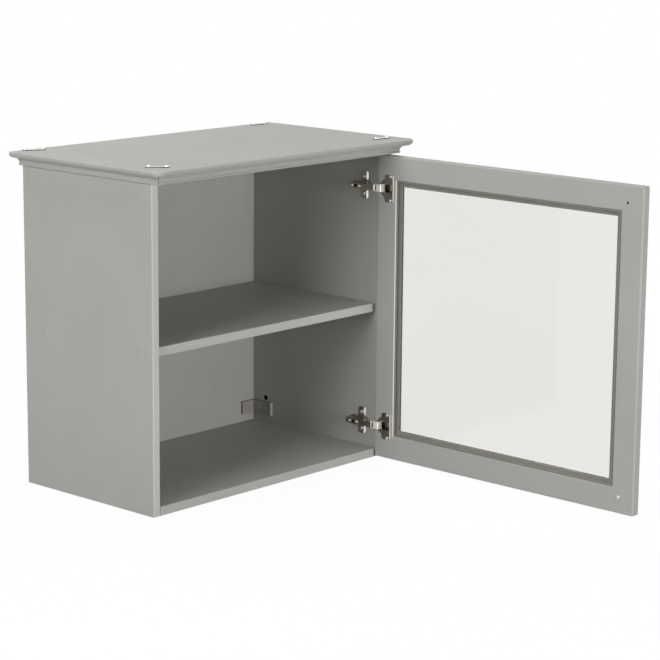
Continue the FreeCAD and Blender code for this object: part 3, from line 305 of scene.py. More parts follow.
# Painted shade for bores and hollows: a near-black that stands for the shade deep inside them and for
# the bare board in a drilled hole.
painted_bore_shade, tree, shader, place = material("painted_bore_shade")
bore_shade_tone = blend(tree, speckle(tree, place, fineness=1500), srgb(22, 20, 17), srgb(36, 32, 27))
fill(tree, shader, {"Base Color": bore_shade_tone, "Roughness": 0.9, "Specular IOR Level": 0.1})
SIDE_FRONT = -0.3
SIDE_ROUND = 0.0004
BOARD_ROUND = 0.0003
BLIND_HOLE_ROW = -0.037
BLIND_HOLE_HEIGHT = 0.065
BLIND_HOLE_RADIUS = 0.005
BLIND_HOLE_RIM = 0.0006
FACING = 0.6
NEAR = 0.0001
side_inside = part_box("right_side_panel")[0].x


def in_blind_hole(normal, middle):
    """Faces below the rim of the blind hole above a lower bracket."""
    off = math.hypot(middle.y - BLIND_HOLE_ROW, middle.z - BLIND_HOLE_HEIGHT)
    return abs(middle.x) > side_inside + BLIND_HOLE_RIM and off < BLIND_HOLE_RADIUS + NEAR


def on_lit_front(normal, middle):
    """Front edges, whose paint is lighter: painted light from the front."""
    return normal.y < -FACING


def on_side_front(normal, middle):
    """Front edges of the sides, and not the holes in them."""
    return normal.y < -FACING and middle.y < SIDE_FRONT


# Each side's blind hole takes painted shade.
for board in ("left_side_panel", "right_side_panel"):
    side_panel = part_finish(eased(board, paint_up, SIDE_ROUND), painted_bore_shade, in_blind_hole)
    # The sides' front edges take the lighter paint: painted light.
    part_finish(side_panel, paint_lit_edge, on_side_front)
for board in ("bottom_panel", "shelf"):
    part_finish(eased(board, paint_across, BOARD_ROUND), paint_lit_band, on_lit_front)

# Back panel: a thin board let into the rear edges of the sides and nailed on from behind, sprayed
# with the same paint.
BACK_ROUND = 0.0002
eased("back_panel", paint_up, BACK_ROUND)

# Cornice: a top panel over the sides, three cove mouldings mitred and pinned round it, and a crown
# board with rounded edges. The paint has opened a little at the mitres.
MITRE_GAP = 0.0005
MOULDING_ROUND = 0.0005
eased("top_panel", paint_across, BOARD_ROUND)
eased("crown_board", paint_across, BOARD_ROUND)
paint_deep = grey_paint("grey_paint_deep", "deep", PAINT_LIGHT, PAINT_DEEP, BOARD_HIGHLIGHT)


def draw_back(piece, axis):
    """Draws a moulding's mitred ends back by the mitre gap, towards the cabinet's middle or rear."""
    reach = max(abs(v.co[axis]) for v in piece.data.vertices)
    share = [1, 1, 1]
    share[axis] = 1 - MITRE_GAP / reach
    start_edit(piece)
    bpy.ops.mesh.select_all(action="SELECT")
    bpy.ops.transform.resize(value=share, center_override=(0, 0, 0))
    bpy.ops.object.mode_set(mode="OBJECT")


draw_back(eased("front_moulding", paint_across, MOULDING_ROUND), axis=0)
for moulding in ("left_moulding", "right_moulding"):
    draw_back(eased(moulding, paint_deep, MOULDING_ROUND), axis=1)

# Screws, nails and pins of the boards: zinc plated steel, headed from wire. They are driven flush into
# the boards, or their heads lie under the cover caps.
# Brighter colour for the painted highlight on plated edges.
PLATE_HIGHLIGHT = srgb(242, 240, 234)
PLATE_HIGHLIGHT_REACH = 0.0005
PATCH_FINENESS = 180
SCRATCH_STRETCH = 0.08
SCRATCH_FINENESS = 2600
FASTENER_ROUND = 0.0002


def plated_steel(name, bright, dull, smooth, rough, metal_highlight_share):
    """Plated steel with fine scratches, dull patches and edges painted brighter as highlights."""
    made, tree, shader, place = material(name)
    lined = put(tree, "ShaderNodeMapping", {"Vector": place, "Scale": (1, 1, SCRATCH_STRETCH)})
    scratches = speckle(tree, lined.outputs["Vector"], SCRATCH_FINENESS, roughness=0.7)
    metal = blend(tree, speckle(tree, place, PATCH_FINENESS, detail=4, roughness=0.6), dull, bright)
    fill(tree, shader, {
        "Base Color": blend(tree, edge_highlight_share(tree, PLATE_HIGHLIGHT_REACH, metal_highlight_share), metal, PLATE_HIGHLIGHT),
        "Roughness": spread(tree, scratches, *NOISE_SPAN, smooth, rough),
        "Metallic": 1.0,
    })
    raise_relief(tree, shader, scratches, strength=0.06, distance=0.0001)
    return made


zinc = plated_steel("zinc_plate", bright=srgb(214, 215, 215), dull=srgb(186, 188, 190),
                    smooth=0.26, rough=0.40, metal_highlight_share=0.5)
for fasteners in ("carcass_screws", "top_panel_screws", "crown_screws", "back_panel_nails",
                  "moulding_pins"):
    eased(fasteners, zinc, FASTENER_ROUND)

# Dowels: short beech pegs with eased ends, glued into holes between the boards. None of them is seen
# once the cabinet is together.
FIBRE_STRETCH = 0.1
DOWEL_ROUND = 0.0006
beech, tree, shader, place = material("bare_beech")
fibre_place = put(tree, "ShaderNodeMapping", {"Vector": place, "Scale": (FIBRE_STRETCH, 1, 1)})
fibres = speckle(tree, fibre_place.outputs["Vector"], fineness=900, detail=4, roughness=0.6)
beech_tone = blend(tree, fibres, srgb(188, 150, 104), srgb(222, 190, 146))
fill(tree, shader, {"Base Color": beech_tone, "Roughness": 0.7})
raise_relief(tree, shader, fibres, strength=0.2, distance=0.0002)
eased("carcass_dowels", beech, DOWEL_ROUND)

# Screw cover caps: thin moulded plastic discs with soft rims, coloured like the paint. They are pressed
# over the heads of the carcass screws.
CAP_ROUND = 0.00045
cap_plastic, tree, shader, place = material("cap_plastic")
cap_mottle = speckle(tree, place, fineness=1400, detail=2)
cap_tone = blend(tree, cap_mottle, srgb(170, 169, 164), srgb(178, 177, 172))
fill(tree, shader, {"Base Color": cap_tone, "Roughness": 0.45, "Specular IOR Level": 0.4})
raise_relief(tree, shader, cap_mottle, strength=0.1, distance=0.0001)
eased("screw_cover_caps", cap_plastic, CAP_ROUND, segments=4)

# Corner brackets: bent steel angles in the rear corners, sprayed a shade darker than the boards. Two
# screws hold the long flange, whose front edge is hemmed, and a cover closes the short one's wall hole.
BRACKET_THICK = 0.0035
BRACKET_ROUND = 0.0003
bracket_paint, tree, shader, place = material("bracket_paint")
bracket_spray = speckle(tree, place, fineness=900)
bracket_tone = blend(tree, bracket_spray, srgb(156, 152, 147), srgb(163, 159, 154))
# Bracket edges a little lighter: painted highlight.
bracket_tone_with_highlight = blend(tree, edge_highlight_share(tree, reach=0.0008, share=0.15), bracket_tone, srgb(196, 193, 188))
fill(tree, shader, {"Base Color": bracket_tone_with_highlight, "Roughness": 0.46})
raise_relief(tree, shader, bracket_spray, strength=0.12, distance=0.0002)
# Dark steel finish for edges where shade falls: painted shade.
edge_painted_shade = plated_steel("edge_painted_shade", bright=srgb(104, 101, 95), dull=srgb(84, 81, 76),
                            smooth=0.50, rough=0.62, metal_highlight_share=0.1)
edge_shade_shader = edge_painted_shade.node_tree.nodes["Principled BSDF"]
fill(edge_painted_shade.node_tree, edge_shade_shader, {"Specular Tint": srgb(110, 108, 104)})
# The brackets' top and bottom faces and inner ends take painted shade.
for level in ("lower", "upper"):
    for hand in ("left", "right"):
        name = "%s_%s_bracket" % (level, hand)
        inner_end = min(abs(corner.x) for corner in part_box(name))
        part_finish(eased(name, bracket_paint, BRACKET_ROUND), edge_painted_shade, lambda normal, middle:
                    abs(normal.z) > FACING or abs(abs(middle.x) - inner_end) < 2 * NEAR)


def block(middle, sizes, turn=0):
    """New block at a place, turned about Z, with its place in its mesh."""
    bpy.ops.object.select_all(action="DESELECT")
    bpy.ops.mesh.primitive_cube_add(size=1, location=middle, rotation=(0, 0, turn), scale=sizes)
    bpy.ops.object.transform_apply(location=True, rotation=True, scale=True)
    return bpy.context.object


def disc(middle, radius, thick, sides, turn=(0, 0, 0)):
    """New disc at a place, turned from lying flat, with its place in its mesh."""
    bpy.ops.object.select_all(action="DESELECT")
    bpy.ops.mesh.primitive_cylinder_add(vertices=sides, radius=radius, depth=thick,
                                        location=middle, rotation=turn)
    bpy.ops.object.transform_apply(location=True, rotation=True, scale=True)
    return bpy.context.object


def placed_copy(pattern, matrix):
    """Copy of a modelled piece with its own mesh, moved to a place."""
    copy = pattern.copy()
    copy.data = pattern.data.copy()
    copy.data.transform(matrix)
    bpy.context.scene.collection.objects.link(copy)
    return copy


def joined(copies, pattern, name):
    """Copies of a pattern as one object; the pattern goes."""
    bpy.data.objects.remove(pattern)
    bpy.ops.object.select_all(action="DESELECT")
    for copy in copies:
        copy.select_set(True)
    bpy.context.view_layer.objects.active = copies[0]
    if len(copies) > 1:
        bpy.ops.object.join()
    copies[0].name = name
    return copies[0]


def face_pick(piece, wanted):
    """Edit mode with the faces selected whose normal and centre are wanted."""
    start_edit(piece)
    bpy.ops.mesh.select_mode(type="FACE")
    bpy.ops.mesh.select_all(action="DESELECT")
    bpy.ops.object.mode_set(mode="OBJECT")
    for face in piece.data.polygons:
        face.select = wanted(face.normal, face.center)
    bpy.ops.object.mode_set(mode="EDIT")


SQUARE_ON = 0.9
COVER_RADIUS = 0.0044
COVER_THICK = 0.0007
COVER_STEP = 0.4 * COVER_RADIUS
COVER_RISE = 0.3 * COVER_THICK
COVER_ROUND = 0.0002
cover = disc((0, 0, 0), COVER_RADIUS, COVER_THICK, sides=36, turn=(math.radians(90), 0, 0))
face_pick(cover, lambda normal, middle: normal.y < -SQUARE_ON)
bpy.ops.mesh.inset(thickness=COVER_STEP)
bpy.ops.transform.translate(value=(0, -COVER_RISE, 0))
bpy.ops.object.mode_set(mode="OBJECT")
round_over(cover, COVER_ROUND)
HEM_WIDE = 0.0062
HEM_DEEP = 0.0034
HEM_PROUD = 0.0003
HEM_ROUND = 0.0008
flange_low, flange_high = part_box("lower_right_bracket")
hem = block((0, 0, 0), (HEM_WIDE, HEM_DEEP, flange_high.z - flange_low.z + 2 * HEM_PROUD))
round_over(hem, HEM_ROUND, segments=3)
hems = []
for level in ("lower", "upper"):
    for hand, side in (("left", -1), ("right", 1)):
        low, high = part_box("%s_%s_bracket" % (level, hand))
        spot = Vector((side * (side_inside - HEM_WIDE / 2), low.y + HEM_DEEP / 2 - HEM_PROUD,
                       (low.z + high.z) / 2))
        hems.append(placed_copy(hem, Matrix.Translation(spot)))
# The hems take the boards' lighter paint instead of the brackets': a painted highlight on their lit
# front edges.
dress(joined(hems, hem, "bracket_hems"), paint_up, "carcass")
MM_PER_M = 1000
wall_bolts = next(mount for mount in frame["record"]["mounts"] if mount["name"] == "wall_bolts")
half_across = wall_bolts["dims"]["spacing_x_mm"] / MM_PER_M / 2
half_up = wall_bolts["dims"]["spacing_y_mm"] / MM_PER_M / 2
covers = []
for side in (-1, 1):
    for height in (-1, 1):
        step = Vector((side * half_across, -BRACKET_THICK - COVER_THICK / 2, height * half_up))
        covers.append(placed_copy(cover, Matrix.Translation(Vector(wall_bolts["pos_m"]) + step)))
dress(joined(covers, cover, "wall_hole_covers"), bracket_paint, "carcass")


def solids(node):
    """Lowest and highest corner of each separate solid of a CAD node."""
    spare = bpy.data.objects.new("spare", frame["nodes"][node].data.copy())
    bpy.context.scene.collection.objects.link(spare)
    start_edit(spare)
    merge_points()
    bpy.ops.mesh.separate(type="LOOSE")
    bpy.ops.object.mode_set(mode="OBJECT")
    corners = []
    for item in list(bpy.context.selected_objects):
        spots = [v.co for v in item.data.vertices]
        corners.append((Vector([min(s[i] for s in spots) for i in range(3)]),
                        Vector([max(s[i] for s in spots) for i in range(3)])))
        bpy.data.objects.remove(item)
    return sorted(corners, key=lambda pair: tuple(pair[0]))


def cut_away(piece, cutter, operation="DIFFERENCE"):
    """Takes a cutter's shape out of a piece, or keeps only what lies inside it; the cutter goes."""
    taken = piece.modifiers.new("cut", "BOOLEAN")
    taken.object = cutter
    taken.operation = operation
    taken.solver = "EXACT"
    bpy.ops.object.select_all(action="DESELECT")
    piece.select_set(True)
    bpy.context.view_layer.objects.active = piece
    bpy.ops.object.modifier_apply(modifier=taken.name)
    bpy.data.objects.remove(cutter)


HEAD_DOME = 0.62
HEAD_SHARP_ANGLE = math.radians(35)
TIP_LONG = 0.2
TIP_WIDE = 0.2
RECESS_LONG = 1.15
RECESS_WIDE = 0.3
RECESS_TALL = 1.3
FIRST_TURN_DEGREES = 37
NEXT_TURN_DEGREES = 61


def cross_screw(head_radius, head_tall, shank_radius, shank_long):
    """Pan head screw with a cross recess: the head stands on z 0 and the shank goes down."""
    screw = disc((0, 0, head_tall / 2), head_radius, head_tall, sides=40)
    face_pick(screw, lambda normal, middle: normal.z > SQUARE_ON)
    bpy.ops.mesh.bevel(offset=head_tall * HEAD_DOME, segments=6, profile=0.5)
    bpy.ops.object.mode_set(mode="OBJECT")
    face_pick(screw, lambda normal, middle: normal.z < -SQUARE_ON)
    bpy.ops.mesh.inset(thickness=head_radius - shank_radius)
    for share in (1 - TIP_LONG, TIP_LONG):
        bpy.ops.mesh.extrude_region_move(TRANSFORM_OT_translate={"value": (0, 0, -shank_long * share)})
    bpy.ops.transform.resize(value=(TIP_WIDE, TIP_WIDE, 1), center_override=(0, 0, -shank_long))
    bpy.ops.object.mode_set(mode="OBJECT")
    for turn in (0, 90):
        bpy.ops.object.select_all(action="DESELECT")
        bpy.ops.mesh.primitive_cube_add(size=1, location=(0, 0, head_tall),
                                        rotation=(0, 0, math.radians(turn)),
                                        scale=(head_radius * RECESS_LONG, head_radius * RECESS_WIDE,
                                               head_tall * RECESS_TALL))
        cut_away(screw, bpy.context.object)
    bpy.ops.object.shade_smooth_by_angle(angle=HEAD_SHARP_ANGLE)
    return screw


def driven_screws(node, finish, facing, head_radius, head_tall, shank_radius, shank_long):
    """One modelled screw copied to each screw of a CAD node; facing gives a screw's way out."""
    pattern = cross_screw(head_radius, head_tall, shank_radius, shank_long)
    copies = []
    for number, (low, high) in enumerate(solids(node)):
        middle = (low + high) / 2
        out = facing(middle)
        half_long = sum(abs(out[i]) * (high[i] - low[i]) / 2 for i in range(3))
        seat = middle + out * (half_long - head_tall)
        driven_turn = math.radians(FIRST_TURN_DEGREES + NEXT_TURN_DEGREES * number)
        turned = Vector((0, 0, 1)).rotation_difference(out) @ Quaternion((0, 0, 1), driven_turn)
        copies.append(placed_copy(pattern, Matrix.Translation(seat) @ turned.to_matrix().to_4x4()))
    return take_place(joined(copies, pattern, node + "_driven"), node, finish)


def to_middle(spot):
    """Way out of a screw that is driven into a side from inside."""
    return Vector((-math.copysign(1, spot.x), 0, 0))


driven_screws("bracket_screws", bracket_paint, to_middle,
              head_radius=0.00375, head_tall=0.0024, shank_radius=0.00195, shank_long=0.013)


# Corner straps: flat zinc plated links with round ends, whose upright edges take a dark finish as
# painted shade, each held to the crown board by two bright screws. They lie at odd angles, as they
# turned when their screws were driven.
def upward(spot):
    """Way out of a screw that is driven down."""
    return Vector((0, 0, 1))


STRAP_ROUND = 0.0002
dull_zinc = plated_steel("dull_zinc", bright=srgb(196, 195, 190), dull=srgb(178, 177, 172),
                         smooth=0.42, rough=0.55, metal_highlight_share=0.1)
for corner in ("front_left", "front_right", "rear_left", "rear_right"):
    strap = eased(corner + "_strap", dull_zinc, STRAP_ROUND)
    part_finish(strap, edge_painted_shade, lambda normal, middle: abs(normal.z) < FACING)
driven_screws("strap_screws", zinc, upward,
              head_radius=0.0035, head_tall=0.0024, shank_radius=0.00195, shank_long=0.010)

# Concealed hinges: nickel plated pressings. A plate is screwed inside the right side, an arm with a
# slot between its screws is clamped on it, and a satin link joins the arm to the cup in the door.
# The hinge nickel is darkened as painted shade, for the dark cabinet it mirrors; the link's satin
# nickel and the chamfers' finish are lighter copies of it, as painted highlight.
nickel_shaded = plated_steel("nickel_plate", bright=srgb(182, 178, 166), dull=srgb(138, 134, 123),
                      smooth=0.20, rough=0.36, metal_highlight_share=0.7)
satin_nickel_lit = plated_steel("satin_nickel_lit", bright=srgb(246, 242, 232), dull=srgb(232, 227, 216),
                            smooth=0.50, rough=0.60, metal_highlight_share=0.2)
nickel_edge_highlight = plated_steel("nickel_edge_highlight", bright=srgb(236, 233, 226), dull=srgb(222, 219, 211),
                           smooth=0.24, rough=0.34, metal_highlight_share=0.2)
ARM_ROUND = 0.0004
ARM_SLOT = (0.009, 0.0080, 0.0044)
ARM_SLOT_END = 0.45 * ARM_SLOT[2]
PLATE_ROUND = 0.0002
FOOT_HALF = 0.0105
WING_HALF = 0.0085
WING_THICK = 0.003
WING_CHAMFER = 0.0025
LINK_ROUND = 0.00015
CHEEK_GAP = 0.0112
TAB_THICK = 0.0012
TAB_INSET = 0.55 * TAB_THICK
TAB_START = 3.3 * TAB_THICK
TAB_INTO_CUP = 0.001
TAB_ROUND = 0.0003
CUP_ROUND = 0.0003
FLANGE_PAST_SCREW = 0.004
FLANGE_CHAMFER = 0.0011
CUP_COVER_RADIUS = 0.0158
CUP_COVER_THICK = 0.001
COVER_BRIDGE = 0.0028
COVER_SLOT = (0.006, 2 * CUP_COVER_RADIUS, 0.015)
COVER_SLOT_END = 0.002
CHAMFER_CUTTER = 0.012
CHAMFER_FACING = 0.35
BORE_FACING = 0.5


def cut_slot(piece, middle, sizes, end_radius):
    """Slot through a piece along X, with its corners rounded."""
    cutter = block(middle, sizes)
    start_edit(cutter)
    bpy.ops.mesh.select_mode(type="EDGE")
    bpy.ops.mesh.select_all(action="DESELECT")
    bpy.ops.object.mode_set(mode="OBJECT")
    for edge in cutter.data.edges:
        start, end = [cutter.data.vertices[v].co for v in edge.vertices]
        edge.select = abs(end.x - start.x) > sizes[0] / 2
    bpy.ops.object.mode_set(mode="EDIT")
    bpy.ops.mesh.bevel(offset=end_radius, segments=6)
    bpy.ops.object.mode_set(mode="OBJECT")
    cut_away(piece, cutter)


def chamfer_front(piece, face, front, wide, low, high):
    """Chamfer on an upright front edge of a piece whose face looks inward, between two heights."""
    out = Vector((-1, -1, 0)).normalized() * CHAMFER_CUTTER / 2
    spot = Vector((face + wide / 2, front + wide / 2, (low + high) / 2)) + out
    cut_away(piece, block(spot, (CHAMFER_CUTTER, CHAMFER_CUTTER, high - low), math.radians(45)))


arm_screw_rows = [(low.y + high.y) / 2 for low, high in solids("hinge_arm_screws")]
slot_row = (min(arm_screw_rows) + max(arm_screw_rows)) / 2
plate_screw_rows = [(low.y + high.y) / 2 for low, high in solids("hinge_plate_screws")]
wing_front = sum(plate_screw_rows) / len(plate_screw_rows) - WING_HALF
wing_face = side_inside - WING_THICK
door_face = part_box("door_hinge_stile")[0].x
flange_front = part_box("cup_screws")[0].y - FLANGE_PAST_SCREW
for level in ("upper", "lower"):
    arm_low, arm_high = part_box(level + "_hinge_arm")
    height = (arm_low.z + arm_high.z) / 2
    slot_middle = (arm_low.x, slot_row, height)
    arm = merged_copy(level + "_hinge_arm")
    cut_slot(arm, slot_middle, ARM_SLOT, ARM_SLOT_END)
    take_place(round_over(arm, ARM_ROUND), level + "_hinge_arm", nickel_shaded)

    plate_low, plate_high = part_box(level + "_hinge_plate")
    plate = merged_copy(level + "_hinge_plate")
    cut_slot(plate, slot_middle, ARM_SLOT, ARM_SLOT_END)
    for wing_low, wing_high in ((plate_low.z - NEAR, height - FOOT_HALF),
                                (height + FOOT_HALF, plate_high.z + NEAR)):
        chamfer_front(plate, wing_face, wing_front, WING_CHAMFER, wing_low, wing_high)
    take_place(round_over(plate, PLATE_ROUND), level + "_hinge_plate", nickel_shaded)
    # The wings' front chamfers take the bright finish: painted highlight.
    part_finish(plate, nickel_edge_highlight, lambda normal, middle:
                normal.y < -CHAMFER_FACING and middle.x > wing_face - NEAR)
    # The slot's floor and walls in the plate take painted shade.
    part_finish(plate, painted_bore_shade, lambda normal, middle:
                abs(middle.y - slot_row) < ARM_SLOT[1] / 2 + NEAR
                and abs(middle.z - height) < ARM_SLOT[2] / 2 + NEAR)

    eased(level + "_hinge_link", satin_nickel_lit, LINK_ROUND)
    link_low, link_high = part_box(level + "_hinge_link")
    tab_end = door_face + TAB_INTO_CUP
    tab_long = tab_end - link_low.x - TAB_START
    tab = block((tab_end - tab_long / 2, link_low.y + TAB_INSET, (link_low.z + link_high.z) / 2),
                (tab_long, TAB_THICK, CHEEK_GAP))
    tab.name = level + "_hinge_link_tab"
    dress(round_over(tab, TAB_ROUND), satin_nickel_lit, "hinge_links")

    cup_low, cup_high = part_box(level + "_hinge_cup")
    cup_middle = (cup_low + cup_high) / 2
    cup = merged_copy(level + "_hinge_cup")
    chamfer_front(cup, cup_low.x, flange_front, FLANGE_CHAMFER, cup_low.z - NEAR, cup_high.z + NEAR)
    take_place(round_over(cup, CUP_ROUND), level + "_hinge_cup", nickel_shaded)
    # The flange's front chamfer takes the bright finish: painted highlight.
    part_finish(cup, nickel_edge_highlight, lambda normal, middle:
                normal.y < -CHAMFER_FACING and middle.x < door_face)
    # The cup's inner wall behind the link takes painted shade.
    part_finish(cup, painted_bore_shade, lambda normal, middle:
                middle.x > door_face + NEAR and normal.y < -BORE_FACING and middle.y > cup_middle.y)
    cup_cover = disc((door_face + CUP_COVER_THICK / 2, cup_middle.y, cup_middle.z),
                     CUP_COVER_RADIUS, CUP_COVER_THICK, sides=64, turn=(0, math.radians(90), 0))
    cup_cover.name = level + "_hinge_cup_cover"
    cover_slot_middle = (door_face, cup_middle.y + COVER_BRIDGE, cup_middle.z)
    cut_slot(cup_cover, cover_slot_middle, COVER_SLOT, COVER_SLOT_END)
    dress(round_over(cup_cover, CUP_ROUND), nickel_shaded, "door")
for pins in ("hinge_arm_pins", "cup_pins"):
    eased(pins, nickel_shaded, FASTENER_ROUND)


def inward(spot):
    """Way out of a screw that is driven towards the right."""
    return Vector((-1, 0, 0))


driven_screws("hinge_plate_screws", zinc, inward,
              head_radius=0.004, head_tall=0.0022, shank_radius=0.0024, shank_long=0.012)
driven_screws("hinge_arm_screws", zinc, inward,
              head_radius=0.0033, head_tall=0.002, shank_radius=0.002, shank_long=0.009)
driven_screws("cup_screws", zinc, inward,
              head_radius=0.0034, head_tall=0.0022, shank_radius=0.00175, shank_long=0.013)

# Door frame: two stiles and two rails in 18 mm board with stub tenons, painted as one. Its outer edges
# are well rounded, and a rebate round the opening takes the glass.
FRAME_ROUND = 0.0003
DOOR_ROUND = 0.003
OPENING_BEVEL = 0.006
GLASS_REBATE = 0.010
REBATE_CHAMFER = 0.002
CHAMFER_LEANS = (-0.85, -0.5)
PILOT_FROM_EDGE = 0.033
PILOT_FROM_TOP = 0.031
PILOT_RADIUS = 0.0024
PILOT_RIM = 0.0004
DOOR_HIGHLIGHT = 0.1
stile_boxes = [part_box(stile) for stile in ("door_hinge_stile", "door_free_stile")]
door_low = Vector([min(low[i] for low, high in stile_boxes) for i in range(3)])
door_high = Vector([max(high[i] for low, high in stile_boxes) for i in range(3)])
frame_wide = stile_boxes[0][1].y - stile_boxes[0][0].y
opening_middle = (door_low + door_high) / 2
opening_size = door_high - door_low - 2 * Vector((0, frame_wide, frame_wide))


def at_joint(start, end):
    """Edges where the boards meet on the inner face."""
    middle = (start + end) / 2
    across = min(middle.y - door_low.y, door_high.y - middle.y)
    return abs(middle.x - door_low.x) < NEAR and abs(across - frame_wide) < NEAR


def round_outside(piece):
    """Keeps what lies inside a blank of the whole door with well rounded edges."""
    blank = block(opening_middle, door_high - door_low)
    start_edit(blank)
    bpy.ops.mesh.select_all(action="SELECT")
    bpy.ops.mesh.bevel(offset=DOOR_ROUND, segments=4)
    bpy.ops.object.mode_set(mode="OBJECT")
    cut_away(piece, blank, "INTERSECT")


def bevel_opening(piece, face, out, margin, wide):
    """Cuts a 45 degree bevel round the opening on the face at x, which looks out along +X or -X."""
    size = opening_size + 2 * Vector((0, margin - NEAR, margin - NEAR))
    cutter = block((face, opening_middle.y, opening_middle.z), (2 * wide, size.y, size.z))
    face_pick(cutter, lambda normal, middle: normal.x * out > SQUARE_ON)
    bpy.ops.transform.resize(value=(1, 1 + 4 * wide / size.y, 1 + 4 * wide / size.z),
                             center_override=(face + out * wide, opening_middle.y, opening_middle.z))
    bpy.ops.object.mode_set(mode="OBJECT")
    cut_away(piece, cutter)


def in_pilot(normal, middle):
    """Faces below the rim of the spare pilot hole in the door's upper free corner."""
    off = math.hypot(middle.y - door_low.y - PILOT_FROM_EDGE, door_high.z - middle.z - PILOT_FROM_TOP)
    return off < PILOT_RADIUS and middle.x > door_low.x + PILOT_RIM


def on_rebate_chamfer(normal, middle):
    """Faces of the hinge stile's chamfer along the glass rebate."""
    slanted = CHAMFER_LEANS[0] < normal.x < CHAMFER_LEANS[1]
    off = abs(door_high.y - middle.y - frame_wide + GLASS_REBATE)
    return slanted and middle.x < door_low.x + REBATE_CHAMFER and off < REBATE_CHAMFER


# Lighter paint for the hinge stile's rebate chamfer: a painted highlight.
rebate_highlight = grey_paint("rebate_highlight", "up", srgb(230, 229, 225), srgb(224, 223, 219), DOOR_HIGHLIGHT)
door_up = grey_paint("door_paint_up", "up", PAINT_LIGHT, PAINT_DEEP, DOOR_HIGHLIGHT)
door_deep = grey_paint("door_paint_deep", "deep", PAINT_LIGHT, PAINT_DEEP, DOOR_HIGHLIGHT)
for board, finish in (("door_hinge_stile", door_up), ("door_free_stile", door_up),
                      ("door_top_rail", door_deep), ("door_bottom_rail", door_deep)):
    piece = merged_copy(board)
    round_outside(piece)
    if board == "door_hinge_stile":
        # The cut leaves doubled points on this board alone.
        start_edit(piece)
        merge_points()
        bpy.ops.object.mode_set(mode="OBJECT")
    bevel_opening(piece, door_high.x, 1, 0, OPENING_BEVEL)
    bevel_opening(piece, door_low.x, -1, GLASS_REBATE, REBATE_CHAMFER)
    take_place(round_over(piece, FRAME_ROUND, stays_sharp=at_joint), board, finish)
    if board == "door_hinge_stile":
        part_finish(piece, rebate_highlight, on_rebate_chamfer)
    # The spare pilot hole takes painted shade.
    if board == "door_free_stile":
        part_finish(piece, painted_bore_shade, in_pilot)

# Gasket: a grey rubber strip that lies in the rebate and holds the edge of the glass, and a thin lining
# of the same rubber on the frame's edge behind the pane; the lining's rubber is painted darker as
# shade.
GASKET_ROUND = 0.0005
LINING_THICK = 0.0008
LINING_WIDE = 0.0046
LINING_ROUND = 0.0002


def rubber(name, deep, light, roughness):
    """Matt rubber with a fine moulded grain."""
    made, tree, shader, place = material(name)
    grain = speckle(tree, place, fineness=1200, roughness=0.6)
    fill(tree, shader, {"Base Color": blend(tree, grain, deep, light), "Roughness": roughness})
    raise_relief(tree, shader, grain, strength=0.2, distance=0.0002)
    return made


gasket_rubber = rubber("gasket_rubber", srgb(122, 121, 116), srgb(138, 137, 132), roughness=0.62)
eased("glazing_gasket", gasket_rubber, GASKET_ROUND, segments=3)
lining_rubber_shaded = rubber("lining_rubber_shaded", srgb(84, 83, 78), srgb(100, 99, 94), roughness=0.7)
lining_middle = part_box("glass_pane")[1].x + LINING_WIDE / 2 + NEAR
lining = block((lining_middle, opening_middle.y, opening_middle.z),
               (LINING_WIDE, opening_size.y, opening_size.z))
lining.name = "opening_lining"
face_pick(lining, lambda normal, middle: abs(normal.x) > SQUARE_ON)
bpy.ops.mesh.delete(type="ONLY_FACE")
bpy.ops.object.mode_set(mode="OBJECT")
wall = lining.modifiers.new("wall", "SOLIDIFY")
wall.thickness = LINING_THICK
wall.offset = -1
bpy.ops.object.modifier_apply(modifier=wall.name)
dress(round_over(lining, LINING_ROUND), lining_rubber_shaded, "door")

# Glass: a 4 mm clear pane with a faint grey cast and a few cleaning smears. It is held at its edges,
# between the rebate and the gasket.
GLASS_ROUND = 0.0003
SMEAR_SPAN = (0.45, 0.75)
SMEAR_ROUGHNESS = 0.04
clear_glass, tree, shader, place = material("clear_glass")
smears = speckle(tree, place, fineness=7, detail=5, roughness=0.6)
fill(tree, shader, {
    "Base Color": srgb(233, 232, 228),
    "Roughness": spread(tree, smears, *SMEAR_SPAN, 0, SMEAR_ROUGHNESS),
    "Transmission Weight": 1.0,
    "IOR": 1.25,
})
lamp_rays = tree.nodes.new("ShaderNodeLightPath")
let_through = put(tree, "ShaderNodeBsdfTransparent", {"Color": srgb(238, 238, 235)})
pane = put(tree, "ShaderNodeMixShader", {0: lamp_rays.outputs["Is Shadow Ray"],
                                         1: shader.outputs["BSDF"],
                                         2: let_through.outputs["BSDF"]})
fill(tree, tree.nodes["Material Output"], {"Surface": pane.outputs["Shader"]})
eased("glass_pane", clear_glass, GLASS_ROUND)

# Knob: a turned and plated knob on the outer face of the door's lower free corner. A bright screw holds
# it, driven through the stile from inside.
KNOB_ROUND = 0.0002
eased("door_knob", nickel_shaded, KNOB_ROUND)
driven_screws("knob_screw", zinc, inward,
              head_radius=0.0036, head_tall=0.0024, shank_radius=0.002, shank_long=0.026)

